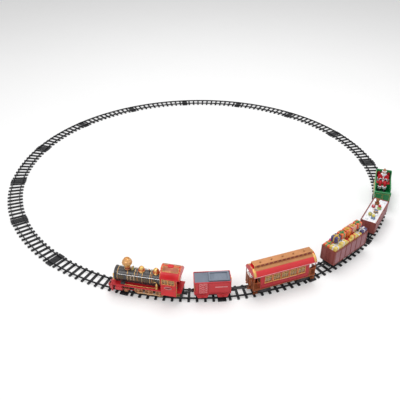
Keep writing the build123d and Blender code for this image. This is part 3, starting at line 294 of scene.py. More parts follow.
skin = plastic("skin", colours["skin"], rough=0.5, mottle=0.06, coat=0.05, wear=0.05)
furWhite = snowFinish("furWhite")
snow = snowFinish("snow")
whitePaint = plastic("whitePaint", colours["white"], rough=0.4, wear=0.05)
bootBlack = plastic("bootBlack", colours["boot"], rough=0.3)
# Near-black matte for the coach's end windows: painted shade in place of the dark inside.
paintedShadeInside = plastic("paintedShadeInside", (0.02, 0.012, 0.012), rough=0.6, coat=0.0)
wheelCopper = plastic("wheelCopper", (0.5, 0.25, 0.12), rough=0.34, metal=0.35)
gearWhite = plastic("gearWhite", (0.72, 0.7, 0.64), rough=0.45)
cellSleeve = metalPaint("cellSleeve", (0.4, 0.41, 0.43), rough=0.35)
paneGlass = clearGlass("paneGlass", (0.75, 0.55, 0.35), 0.45)
lampGlass = clearGlass("lampGlass", (0.9, 0.88, 0.8), 0.5)
print("stage: materials")

# Every shape is drawn in millimetres in its vehicle's own frame: X forward, Y out of the loop, Z up.


boxFaces = [(0, 2, 3, 1), (4, 5, 7, 6), (0, 1, 5, 4), (2, 6, 7, 3), (0, 4, 6, 2), (1, 3, 7, 5)]


def turns(count):
    return [2 * pi * i / count for i in range(count)]


class Shape:
    def __init__(self):
        self.points = []
        self.faces = []

    def add(self, points, faces):
        base = len(self.points)
        self.points += [Vector(p) for p in points]
        self.faces += [tuple(base + i for i in face) for face in faces]

    def block(self, low, high):
        xs, ys, zs = (sorted(pair) for pair in zip(low, high))
        points = [(x, y, z) for z in zs for y in ys for x in xs]
        self.add(points, boxFaces)

    def sideBlock(self, side, xs, ys, zs):
        # A block whose Y is measured outwards from the middle, on either side.
        self.block((xs[0], side * ys[0], zs[0]), (xs[1], side * ys[1], zs[1]))

    def slab(self, outline, depth, place):
        # A flat outline in place's XY, thickened along its Z.
        count = len(outline)
        points = [place @ Vector((x, y, z)) for z in (0, depth) for x, y in outline]
        faces = [tuple(reversed(range(count))), tuple(range(count, 2 * count))]
        faces += [(i, (i + 1) % count, count + (i + 1) % count, count + i) for i in range(count)]
        self.add(points, faces)

    def lathe(self, profile, place=None, steps=40, closed=False):
        # profile holds (radius, height) pairs about place's Z.
        place = place or Matrix.Identity(4)
        points = []
        for i in range(steps):
            turn = 2 * pi * i / steps
            points += [place @ Vector((r * cos(turn), r * sin(turn), h)) for r, h in profile]
        count = len(profile)
        faces = []
        for i in range(steps):
            a, b = i * count, ((i + 1) % steps) * count
            for j in range(count if closed else count - 1):
                k = (j + 1) % count
                faces.append((a + j, b + j, b + k, a + k))
        if not closed:
            faces.append(tuple(reversed([i * count for i in range(steps)])))
            faces.append(tuple(i * count + count - 1 for i in range(steps)))
        self.add(points, faces)

    def tube(self, path, radius, sides=8, closed=False, flat=1.0):
        path = [Vector(p) for p in path]
        count = len(path)
        rings = []
        normal = None
        for i, point in enumerate(path):
            before = path[i - 1] if i or closed else point
            after = path[(i + 1) % count] if i < count - 1 or closed else point
            along = (after - before).normalized()
            if normal is None:
                seed = Vector((0, 0, 1)) if abs(along.z) < 0.9 else Vector((1, 0, 0))
                normal = along.cross(seed).normalized()
            normal = (normal - along * normal.dot(along)).normalized()
            side = along.cross(normal)
            size = radius[i] if isinstance(radius, (list, tuple)) else radius
            rings.append([point + (normal * cos(turn) + side * sin(turn) * flat) * size
                          for turn in turns(sides)])
        points = [p for ring in rings for p in ring]
        faces = []
        for i in range(count if closed else count - 1):
            a, b = i * sides, ((i + 1) % count) * sides
            faces += [(a + s, a + (s + 1) % sides, b + (s + 1) % sides, b + s) for s in range(sides)]
        if not closed:
            faces += [tuple(reversed(range(sides))), tuple((count - 1) * sides + s for s in range(sides))]
        self.add(points, faces)

    def ball(self, centre, radii, rings=14, segments=20, ruffle=0.0, seed=0):
        points = []
        cx, cy, cz = centre
        rx, ry, rz = radii if isinstance(radii, (list, tuple)) else (radii,) * 3
        for i in range(1, rings):
            tilt = pi * i / rings
            for j in range(segments):
                turn = 2 * pi * j / segments
                direction = Vector((sin(tilt) * cos(turn), sin(tilt) * sin(turn), cos(tilt)))
                swell = 1 + ruffle * noise.noise(direction * 2.2 + Vector((seed, seed * 0.7, 0)))
                points.append((cx + rx * direction.x * swell, cy + ry * direction.y * swell,
                               cz + rz * direction.z * swell))
        top, bottom = len(points), len(points) + 1
        points += [(cx, cy, cz + rz), (cx, cy, cz - rz)]
        faces = []
        for i in range(rings - 2):
            for j in range(segments):
                a, b = i * segments + j, i * segments + (j + 1) % segments
                faces.append((a, a + segments, b + segments, b))
        for j in range(segments):
            k = (j + 1) % segments
            faces.append((top, j, k))
            faces.append((bottom, (rings - 2) * segments + k, (rings - 2) * segments + j))
        self.add(points, faces)


def alongX(x, y, z):
    # Lathe place whose axis runs forward.
    return Matrix.Translation((x, y, z)) @ Matrix.Rotation(radians(90), 4, "Y")


def alongY(x, y, z, side):
    # Lathe or slab place whose axis runs out of the loop, or into it.
    return Matrix.Translation((x, y, z)) @ Matrix.Rotation(radians(-90 * side), 4, "X")


def sidePlane(side, y):
    # Place for outlines drawn in X and Z, thickened outwards on that side.
    if side > 0:
        return Matrix(((1, 0, 0, 0), (0, 0, 1, y), (0, 1, 0, 0), (0, 0, 0, 1)))
    return Matrix(((1, 0, 0, 0), (0, 0, -1, -y), (0, 1, 0, 0), (0, 0, 0, 1)))


def endPlane(end, x):
    # Place for outlines drawn in Y and Z, thickened along the travel direction.
    return Matrix(((0, 0, end, x), (1, 0, 0, 0), (0, 1, 0, 0), (0, 0, 0, 1)))


def addPiece(name, shape, body, material, bevel, subdivide=0):
    place = places[body] @ Matrix.Scale(0.001, 4)
    mesh = bpy.data.meshes.new(name)
    mesh.from_pydata([place @ p for p in shape.points], [], shape.faces)
    mesh.update()
    mesh.materials.append(material)
    piece = bpy.data.objects.new(name, mesh)
    bpy.context.collection.objects.link(piece)
    fixNormals(mesh)
    mesh.shade_smooth()
    if bevel:
        modifier = piece.modifiers.new("bevel", "BEVEL")
        modifier.width = bevel / 1000
        modifier.segments = 2
        modifier.limit_method = "ANGLE"
        modifier.angle_limit = radians(38)
        modifier.harden_normals = True
    if subdivide:
        modifier = piece.modifiers.new("subdivide", "SUBSURF")
        modifier.levels = subdivide
        modifier.render_levels = subdivide
    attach(piece, body)
    return piece


def fixNormals(mesh):
    work = bmesh.new()
    work.from_mesh(mesh)
    bmesh.ops.recalc_face_normals(work, faces=work.faces)
    work.to_mesh(mesh)
    work.free()


def paint(node, material):
    target = frame["nodes"][node]
    if not target.material_slots:
        target.data.materials.append(material)
    for holder in target.material_slots:
        holder.material = material


def placeFrom(front, rear):
    # Where a vehicle stands, from the joints at its two ends.
    frontPoint, rearPoint = Vector(joints[front]["pos_m"]), Vector(joints[rear]["pos_m"])
    forward = frontPoint - rearPoint
    forward.z = 0
    forward.normalize()
    outward = Vector((0, 0, 1)).cross(forward)
    origin = frontPoint.lerp(rearPoint, 0.5)
    matrix = Matrix((forward, outward, Vector((0, 0, 1)))).transposed().to_4x4()
    matrix.translation = Vector((origin.x, origin.y, 0))
    return matrix


places = {
    "locomotive": placeFrom("driving_axle_front_spin", "driving_axle_rear_spin"),
    "tender": placeFrom("tender_axle_front_spin", "tender_axle_rear_spin"),
    "coach": placeFrom("coach_bogie_front_swivel", "coach_bogie_rear_swivel"),
    "gift_wagon": placeFrom("gift_wagon_axle_front_spin", "gift_wagon_axle_rear_spin"),
    "toy_wagon": placeFrom("toy_wagon_axle_front_spin", "toy_wagon_axle_rear_spin"),
    "sleigh": placeFrom("sleigh_axle_front_spin", "sleigh_axle_rear_spin"),
    "track": Matrix.Identity(4),
}
# The locomotive's own zero lies ahead of its middle driver.
middleDriverX = -21.5
places["locomotive"] = places["locomotive"] @ Matrix.Translation((-middleDriverX / 1000, 0, 0))


def dropOn(node, body, x, y, top=180.0):
    # Height in millimetres of a node's surface under a point of its vehicle.
    start = places[body] @ Vector((x / 1000, y / 1000, top / 1000))
    hit, point, _, _ = frame["nodes"][node].ray_cast(start, Vector((0, 0, -1)))
    return point.z * 1000 if hit else 0.0


def drape(shape, node, body, ends, rows, over, under):
    # A thin closed strip that follows a roof across its rows, from one end to the other.
    points = [(x, y, dropOn(node, body, x, y) + lift) for lift in (over, -under) for y in rows for x in ends]
    count = 2 * len(rows)
    faces = [(0, count, count + 1, 1), (count - 2, count - 1, 2 * count - 1, 2 * count - 2)]
    for a in range(0, count - 2, 2):
        b = count + a
        faces += [(a, a + 1, a + 3, a + 2), (b, b + 2, b + 3, b + 1), (a, a + 2, b + 2, b),
                  (a + 1, b + 1, b + 3, a + 3)]
    shape.add(points, faces)


def roofLine(shape, node, body, x, half, steps, lift, radius):
    # A raised line over a roof, from one eave to the other.
    rows = [-half + 2 * half * i / steps for i in range(steps + 1)]
    shape.tube([(x, y, dropOn(node, body, x, y) + lift) for y in rows], radius, sides=6)


def windowFrame(shape, side, y, x, z, width, height, bar=1.4, proud=0.9, cross=(), rails=()):
    # Raised frame round an opening in a side wall, with glazing bars.
    half, rise = width / 2, height / 2
    for low, high in (((-half - bar, rise), (half + bar, rise + bar)),
                      ((-half - bar, -rise - bar), (half + bar, -rise)),
                      ((-half - bar, -rise), (-half, rise)), ((half, -rise), (half + bar, rise))):
        shape.sideBlock(side, (x + low[0], x + high[0]), (y - 0.6, y + proud), (z + low[1], z + high[1]))
    depth = (y - 1.6, y + proud * 0.4)
    for place in cross:
        shape.sideBlock(side, (x + place * half - 0.5, x + place * half + 0.5), depth, (z - rise, z + rise))
    for place in rails:
        shape.sideBlock(side, (x - half, x + half), depth, (z + place * rise - 0.5, z + place * rise + 0.5))


def lineLoop(shape, side, y, x0, x1, z0, z1, radius=0.55, corner=2.5):
    # Thin raised line round a panel, with notched corners.
    points = []
    for cx, cz, start in ((x1 - corner, z1 - corner, 0), (x0 + corner, z1 - corner, 90),
                          (x0 + corner, z0 + corner, 180), (x1 - corner, z0 + corner, 270)):
        for step in range(5):
            turn = radians(start + 90 * step / 4)
            points.append((cx + corner * cos(turn), side * y, cz + corner * sin(turn)))
    shape.tube(points, radius, sides=6, closed=True)


def flatRing(x, y, z, reach, count, reachY=None):
    # Points round a level ring, an oval where reachY is given.
    return [(x + reach * cos(turn), y + (reachY or reach) * sin(turn), z) for turn in turns(count)]


def rivetRow(shape, points, radius=0.6):
    for x, y, z in points:
        shape.ball((x, y, z), radius, rings=5, segments=8)


trackValues = {"radius": 807.0, "sections": 16, "start": 5.51, "ties": 11, "tieTop": 4.5, "railSpacing": 39.0,
               "webHalf": 0.8, "chairWidth": 3.4, "chairLength": 6.0, "chairHeight": 1.6}


def trackDetail(values):
    # Moulded chairs that grip each rail on every tie, and clips over the joints.
    chairs = Shape()
    clips = Shape()
    arc = 360.0 / values["sections"]
    pitch = arc / (values["ties"] + 1)
    for section in range(values["sections"]):
        for tie in range(1, values["ties"] + 1):
            turn = radians(values["start"] + section * arc + tie * pitch)
            out = Vector((cos(turn), sin(turn), 0))
            along = Vector((-sin(turn), cos(turn), 0))
            for rail in (-0.5, 0.5):
                for side in (-1, 1):
                    middle = values["radius"] + rail * values["railSpacing"]
                    inner = middle + side * values["webHalf"]
                    outer = middle + side * (values["webHalf"] + values["chairWidth"])
                    half = values["chairLength"] / 2
                    low, high = values["tieTop"] - 0.2, values["tieTop"] + values["chairHeight"]
                    points = [out * r + along * half * grow * way + Vector((0, 0, h))
                              for h, grow in ((low, 1.0), (high, 0.6))
                              for r in (inner, outer) for way in (-1, 1)]
                    chairs.add(points, boxFaces)
        turn = radians(values["start"] + section * arc)
        out = Vector((cos(turn), sin(turn), 0))
        along = Vector((-sin(turn), cos(turn), 0))
        for reach in (-27.0, 27.0, 0.0):
            centre = out * (values["radius"] + reach)
            place = Matrix((out, along, Vector((0, 0, 1)))).transposed().to_4x4()
            place.translation = centre
            clips.lathe([(3.2, values["tieTop"] - 0.2), (3.2, values["tieTop"] + 0.7),
                         (2.6, values["tieTop"] + 1.1)], place, 16)
    addPiece("rail_chairs", chairs, "track", trackBlack, bevel=0)
    addPiece("joint_clips", clips, "track", trackBlack, bevel=0.2)


paint("track_sections", trackBlack)
trackDetail(trackValues)
print("stage: track")

locoValues = {
    "boilerRadius": 22.5, "boilerCentre": 69.5, "boilerFront": 91.0, "cabFront": -65.0, "cabLength": 50.0,
    "boardTop": 45.0, "boardWidth": 62.0, "boardFront": 101.0,
    "bandPlaces": (84.0, 50.0, 26.0, 0.0, -26.0, -60.0),
    "bandWidth": 1.3, "railTurn": 58.0, "railLift": 3.2, "pumpPlace": (-50.0, 25.8), "chimneyX": 53.5,
    "bellX": 36.0, "whistleX": -20.0, "axleHeight": 24.8, "cylinderX": 80.0, "cylinderInset": 4.5,
    "boxX": 65.0, "boxY": 24.5, "treadY": 25.4, "dialReach": 3.1, "lampReach": 3.5,
    "domePlaces": (6.0, -43.0), "plateX": -89.0, "plateZ": 61.0,
}


def onBoiler(values, side, x, turn, lift):
    # A point on the boiler's round, turn degrees down from its top.
    reach = values["boilerRadius"] + lift
    return (x, side * reach * sin(radians(turn)), values["boilerCentre"] + reach * cos(radians(turn)))


def boilerTrim(values):
    bands = Shape()
    reach = values["boilerRadius"]
    for x in values["bandPlaces"]:
        half = values["bandWidth"] / 2
        bands.lathe([(reach - 0.3, -half), (reach + 0.8, -half), (reach + 1.0, 0), (reach + 0.8, half),
                     (reach - 0.3, half)],
                    alongX(x, 0, values["boilerCentre"]), 72, closed=True)
    addPiece("boiler_bands", bands, "locomotive", gold, bevel=0.15)
    arches = Shape()
    scroll = Shape()
    spans = ((49.0, 27.0), (24.0, 2.0), (-2.0, -24.0), (-29.0, -44.0), (81.0, 62.0))
    for side in (-1, 1):
        for front, rear in ((49.0, 38.5), (37.5, 27.0)):
            for sink in (0.0, 2.2):
                path = [onBoiler(values, side, front - sink * 0.6, 104, 0.35)]
                path += [onBoiler(values, side,
                                  (front + rear) / 2 + (front - rear - 1.2 * sink) / 2 * cos(pi * i / 14),
                                  76 - 20 * sin(pi * i / 14) + sink * 2, 0.4) for i in range(15)]
                path.append(onBoiler(values, side, rear + sink * 0.6, 104, 0.35))
                arches.tube(path, 0.62 if sink == 0 else 0.35, sides=6)
    addPiece("boiler_arches", arches, "locomotive", paleGold, bevel=0)
    for side in (-1, 1):
        for front, rear in spans:
            middle, length = (front + rear) / 2, front - rear
            arch = [onBoiler(values, side, front - 3 - (length - 6) * i / 24, 92 - 34 * sin(pi * i / 24),
                             0.35)
                    for i in range(25)]
            scroll.tube(arch, [0.35 + 0.45 * sin(pi * i / 24) for i in range(25)], sides=6)
            low = [onBoiler(values, side, front - 3 - (length - 6) * i / 24, 96 + 10 * sin(pi * i / 24), 0.35)
                   for i in range(25)]
            scroll.tube(low, 0.4, sides=6)
            for way in (-1, 1):
                curl = []
                for i in range(22):
                    turn = i / 21 * 2.6 * pi
                    size = 5.2 * (1 - i / 26)
                    curl.append(onBoiler(values, side, middle + way * (length * 0.2 + size * cos(turn)),
                                         84 + size * sin(turn) * 2.3, 0.35))
                scroll.tube(curl, [0.65 - 0.018 * i for i in range(22)], sides=6)
            for i in range(5):
                leaf = middle + (i - 2) * 3.2
                scroll.tube([onBoiler(values, side, leaf, 76 - 3 * cos((i - 2) * 0.8), 0.35),
                             onBoiler(values, side, leaf + (i - 2) * 0.7, 70 + abs(i - 2) * 2, 0.45),
                             onBoiler(values, side, leaf + (i - 2) * 1.6, 66 + abs(i - 2) * 4, 0.3)],
                            [0.3, 0.9, 0.25], sides=6)
    addPiece("boiler_scroll", scroll, "locomotive", darkGold, bevel=0)
    rail = Shape()
    knobs = Shape()
    for side in (-1, 1):
        path = [onBoiler(values, side, 84 - 146 * i / 20, values["railTurn"], values["railLift"])
                for i in range(21)]
        rail.tube(path, 0.8, sides=8)
        for x in (82, 48, 14, -22, -58):
            foot = Vector(onBoiler(values, side, x, values["railTurn"], -0.3))
            head = Vector(onBoiler(values, side, x, values["railTurn"], values["railLift"]))
            knobs.tube([foot, head], [0.9, 0.6], sides=8)
            knobs.ball(head, 1.35, rings=8, segments=12)
    addPiece("boiler_handrails", rail, "locomotive", silver, bevel=0)
    addPiece("handrail_knobs", knobs, "locomotive", silver, bevel=0)


def smokeboxTrim(values):
    face = values["boilerFront"] + values["lampReach"]
    rivets = Shape()
    for i in range(26):
        turn = 2 * pi * (i + 0.5) / 26
        rivets.ball((face + 1.2, 24.0 * cos(turn), values["boilerCentre"] + 24.0 * sin(turn)), 0.75, rings=6,
                    segments=8)
    addPiece("smokebox_rivets", rivets, "locomotive", gold, bevel=0)
    door = Shape()
    door.lathe([(8.4, 0.0), (20.8, 0.0), (20.6, 0.9), (16.0, 1.9), (11.0, 2.5), (8.4, 2.6)],
               alongX(face, 0, values["boilerCentre"]), 64, closed=True)
    addPiece("smokebox_door", door, "locomotive", frontBlack, bevel=0.2)
    fittings = Shape()
    for z in (-9.0, 9.0):
        fittings.slab([(6, -1.4), (20.5, -1.1), (23.5, -2.4), (23.5, 2.4), (20.5, 1.1), (6, 1.4)], 1.0,
                      endPlane(1, face + 1.9) @ Matrix.Translation((0, values["boilerCentre"] + z, 0)))
    fittings.lathe([(2.0, -12.5), (2.0, 12.5)],
                   Matrix.Translation((face + 1.6, 22.6, values["boilerCentre"])), 14)
    fittings.lathe([(7.6, 0.0), (9.2, 0.0), (9.4, 3.6), (8.4, 4.3), (7.6, 4.1)],
                   alongX(face + 0.2, 0, values["boilerCentre"]), 40, closed=True)
    addPiece("smokebox_fittings", fittings, "locomotive", gold, bevel=0.2)
    reflector = Shape()
    reflector.lathe([(0.0, 0.4), (2.0, 0.5), (4.4, 1.4), (5.6, 3.2)], alongX(face, 0, values["boilerCentre"]),
                    32)
    addPiece("lamp_reflector", reflector, "locomotive", silver, bevel=0)


def heightPaint(name, low, high, stops):
    # Paint that changes with the height above the floor, in metres.
    material, tree, shader = newMaterial(name)
    place = addNode(tree, "ShaderNodeTexCoord")
    parts = addNode(tree, "ShaderNodeSeparateXYZ")
    tree.links.new(place.outputs["Object"], parts.inputs["Vector"])
    reach = addNode(tree, "ShaderNodeMapRange")
    reach.inputs["From Min"].default_value = low
    reach.inputs["From Max"].default_value = high
    tree.links.new(parts.outputs["Z"], reach.inputs["Value"])
    ramp = rampNode(tree, reach.outputs["Result"], stops)
    cloud = rampNode(tree, noiseNode(tree, 90.0).outputs["Fac"], [(0.3, (0.8,) * 3), (0.7, (1.0,) * 3)])
    tree.links.new(mixColours(tree, 1.0, ramp.outputs["Color"], cloud.outputs["Color"], "MULTIPLY"),
                   shader.inputs["Base Color"])
    addBump(tree, shader, noiseNode(tree, 700.0), 0.1, 0.0006)
    shader.inputs["Roughness"].default_value = 0.32
    shader.inputs["Metallic"].default_value = 0.45
    return material


chimneyPaint = heightPaint("chimneyPaint", 0.090, 0.134, [
    (0.0, (0.2, 0.01, 0.012)), (0.22, (0.26, 0.012, 0.012)), (0.27, (0.62, 0.07, 0.015)),
    (0.45, (0.72, 0.14, 0.03)),
    (0.56, (0.62, 0.28, 0.1)), (0.8, (0.66, 0.34, 0.14)), (1.0, (0.72, 0.42, 0.2))])


def chimneyTrim(values):
    x = values["chimneyX"]
    place = Matrix.Translation((x, 0, 0))
    neck = Shape()
    neck.lathe([(8.2, 93.6), (7.2, 94.8), (6.5, 97.0), (6.5, 101.2), (6.2, 101.2), (6.2, 93.6)], place, 40,
               closed=True)
    addPiece("chimney_neck", neck, "locomotive", neckRed, bevel=0.2)
    cone = Shape()
    cone.lathe([(7.4, 101.0), (8.8, 104.0), (11.4, 108.5), (14.2, 113.0), (13.6, 113.4), (6.2, 101.0)], place,
               48, closed=True)
    addPiece("chimney_cone", cone, "locomotive", coneRed, bevel=0.2)
    rings = Shape()
    for radius, z, size in ((7.3, 100.8, 0.9), (14.3, 113.4, 0.9), (16.4, 119.0, 0.8), (10.9, 130.4, 0.8),
                            (9.3, 93.9, 0.8)):
        rings.tube(flatRing(x, 0, z, radius, 48),
                   size, sides=8, closed=True)
    profile = ((14.6, 113.6), (16.2, 116.5), (16.8, 119.2), (16.0, 123.0), (14.2, 126.8), (11.4, 130.0))
    for turn in turns(8):
        rings.tube([(x + r * cos(turn), r * sin(turn), z) for r, z in profile], 0.45, sides=6)
    addPiece("chimney_rings", rings, "locomotive", gold, bevel=0)
    screen = Shape()
    screen.lathe([(0.0, 134.4), (2.6, 134.2), (5.4, 133.3), (8.0, 131.8), (9.6, 130.2), (9.0, 129.6),
                  (0.0, 129.0)], place, 40)
    addPiece("chimney_screen", screen, "locomotive", copper, bevel=0)
    mesh = Shape()
    profile = ((1.2, 134.5), (5.4, 133.5), (8.0, 132.0), (9.5, 130.4))
    for turn in turns(16):
        mesh.tube([(x + r * cos(turn), r * sin(turn), z) for r, z in profile], 0.22, sides=5)
    for radius, z in ((2.8, 134.4), (5.4, 133.5), (7.7, 132.2)):
        mesh.tube(flatRing(x, 0, z, radius, 32), 0.22, sides=5, closed=True)
    addPiece("chimney_mesh", mesh, "locomotive", gold, bevel=0)


def topFittings(values):
    rings = Shape()
    for x in values["domePlaces"]:
        for radius, z, size in ((9.3, 97.0, 0.8), (9.2, 101.0, 0.7), (10.8, 95.1, 0.6)):
            rings.tube(flatRing(x, 0, z, radius, 40),
                       size, sides=8, closed=True)
        rings.ball((x, 0, 110.2), (1.8, 1.8, 1.4), rings=8, segments=12)
    addPiece("dome_rings", rings, "locomotive", coneRed, bevel=0)
    yoke = Shape()
    x = values["bellX"]
    for side in (-1, 1):
        yoke.tube([(x, side * 7.2, 91.0), (x, side * 7.6, 96.0), (x, side * 6.6, 101.2),
                   (x, side * 3.0, 103.0), (x, 0, 103.3)],
                  0.8, sides=8)
    yoke.ball((x, 0, 104.2), 1.3, rings=8, segments=12)
    addPiece("bell_yoke", yoke, "locomotive", gold, bevel=0)
    pipes = Shape()
    for side in (-1, 1):
        for x in values["domePlaces"]:
            turns = [20, 30, 45, 60, 75, 88, 98]
            pipes.tube([onBoiler(values, side, x + 13 - 0.05 * t, t, 1.1) for t in turns], 0.8, sides=8)
    whistle = Vector((values["whistleX"], 0, 0))
    pipes.lathe([(1.4, 90.5), (1.4, 97.0), (2.1, 97.0), (2.1, 102.0), (0.8, 103.5)],
                Matrix.Translation(whistle), 16)
    addPiece("boiler_pipes", pipes, "locomotive", copper, bevel=0)


def pumps(values):
    x, y = values["pumpPlace"]
    body = Shape()
    for side in (-1, 1):
        place = Matrix.Translation((x, side * y, 0))
        body.lathe([(4.6, 45.0), (4.6, 46.4), (3.4, 46.8), (3.4, 48.0), (4.2, 48.2), (4.2, 49.0), (3.6, 49.3),
                    (4.2, 49.8),
                    (4.2, 50.6), (3.6, 50.9), (4.2, 51.4), (4.2, 54.5), (2.0, 55.2), (2.0, 57.4), (4.0, 58.2),
                    (4.0, 64.5),
                    (3.2, 65.6), (1.2, 66.2), (1.2, 67.4)], place, 28)
        body.tube([(x, side * y, 67.0), (x, side * (y - 0.4), 69.5), (x + 3, side * (y - 1.4), 71.2),
                   (x + 10, side * (y - 2.0), 72.0)],
                  0.9, sides=8)
        body.tube([(x + 4.5, side * y, 49.0), (x + 9, side * (y + 1.0), 47.5),
                   (x + 30, side * (y + 1.5), 46.9),
                   (x + 118, side * (y + 1.5), 46.9)], 0.8, sides=8)
    addPiece("air_pumps", body, "locomotive", gold, bevel=0.2)


def boardTrim(values):
    edge = Shape()
    front, rear = values["boardFront"], values["cabFront"]
    half = values["boardWidth"] / 2
    for side in (-1, 1):
        edge.tube([(front - 0.6 - (front - rear - 1.4) * i / 12, side * (half - 0.3), values["boardTop"])
                   for i in range(13)],
                  0.45, sides=6)
        edge.sideBlock(side, (front - 14, front - 2), (half - 8, half),
                       (values["boardTop"] - 0.1, values["boardTop"] + 1.2))
    addPiece("board_edges", edge, "locomotive", locoRed, bevel=0.2)
    tread = Shape()
    for side in (-1, 1):
        for i in range(26):
            x = 90 - 5.6 * i
            if x > rear + 3:
                tread.block((x - 1.9, side * values["treadY"] - 3.4, values["boardTop"] - 0.1),
                            (x + 1.9, side * values["treadY"] + 3.4, values["boardTop"] + 0.5))
    addPiece("board_treads", tread, "locomotive", locoRed, bevel=0.15)
    boxes = Shape()
    x = values["boxX"]
    for side in (-1, 1):
        boxes.block((x - 7.0, side * values["boxY"] - 4.0, values["boardTop"] - 0.1),
                    (x + 7.0, side * values["boxY"] + 4.0, values["boardTop"] + 6.5))
        boxes.block((x - 6.4, side * values["boxY"] - 4.4, values["boardTop"] + 5.2),
                    (x + 6.4, side * values["boxY"] + 4.4, values["boardTop"] + 7.2))
    addPiece("tool_boxes", boxes, "locomotive", frontBlack, bevel=0.5)


def pilotTrim(values):
    front = values["boardFront"]
    beam = Shape()
    beam.block((front - 1.0, -30.6, 37.5), (front + 4.2, 30.6, 46.2))
    addPiece("front_beam", beam, "locomotive", locoRed, bevel=0.6)
    line = Shape()
    for y0, y1 in ((-29.0, -4.0), (4.0, 29.0)):
        corners = ((y0, 39.2), (y1, 39.2), (y1, 44.6), (y0, 44.6))
        line.tube([(front + 4.3, y, z) for y, z in corners], 0.45, sides=6, closed=True)
    for i in range(-4, 5):
        tip = front + 26.0 - 2.35 * abs(i)
        line.tube([(front + 4.6, i * 6.4, 42.0), (front + 6 + 0.45 * (tip - front - 6), i * 5.6, 33.0),
                   (tip - 1, i * 4.6, 17.5)],
                  0.5, sides=6)
    addPiece("pilot_lines", line, "locomotive", redLine, bevel=0)
    hook = Shape()
    hook.block((front + 4.0, -2.2, 38.5), (front + 9.5, 2.2, 42.0))
    hook.tube([(front + 9, 0, 40), (front + 13, 0, 40.5), (front + 15.0, 0, 43.0), (front + 13.5, 0, 45.5)],
              [1.5, 1.4, 1.3, 0.9], sides=10)
    for side in (-1, 1):
        hook.lathe([(3.0, 0), (3.0, 3.0), (4.6, 3.6), (4.6, 4.8), (3.0, 5.4)],
                   alongX(front + 4.0, side * 22.0, 42.0), 24)
    addPiece("front_coupling", hook, "locomotive", frameBlack, bevel=0.3)


def cylinderTrim(values):
    caps = Shape()
    middle, height = values["cylinderX"], values["axleHeight"]
    for side in (-1, 1):
        y = side * (values["boardWidth"] / 2 - values["cylinderInset"])
        for x, way in ((middle + 11.0, 1), (middle - 11.0, -1)):
            place = Matrix.Translation((x, y, height)) @ Matrix.Rotation(radians(90 * way), 4, "Y")
            caps.lathe([(6.1, -0.8), (6.6, -0.6), (6.6, 0.6), (5.4, 1.2), (2.4, 1.4), (2.2, 2.6), (0.9, 3.0)],
                       place, 28)
        for x in (middle - 6.0, middle, middle + 6.0):
            caps.lathe([(5.9, -0.6), (6.5, -0.6), (6.5, 0.6), (5.9, 0.6)], alongX(x, y, height), 36,
                       closed=True)
    addPiece("cylinder_caps", caps, "locomotive", redLine, bevel=0.15)


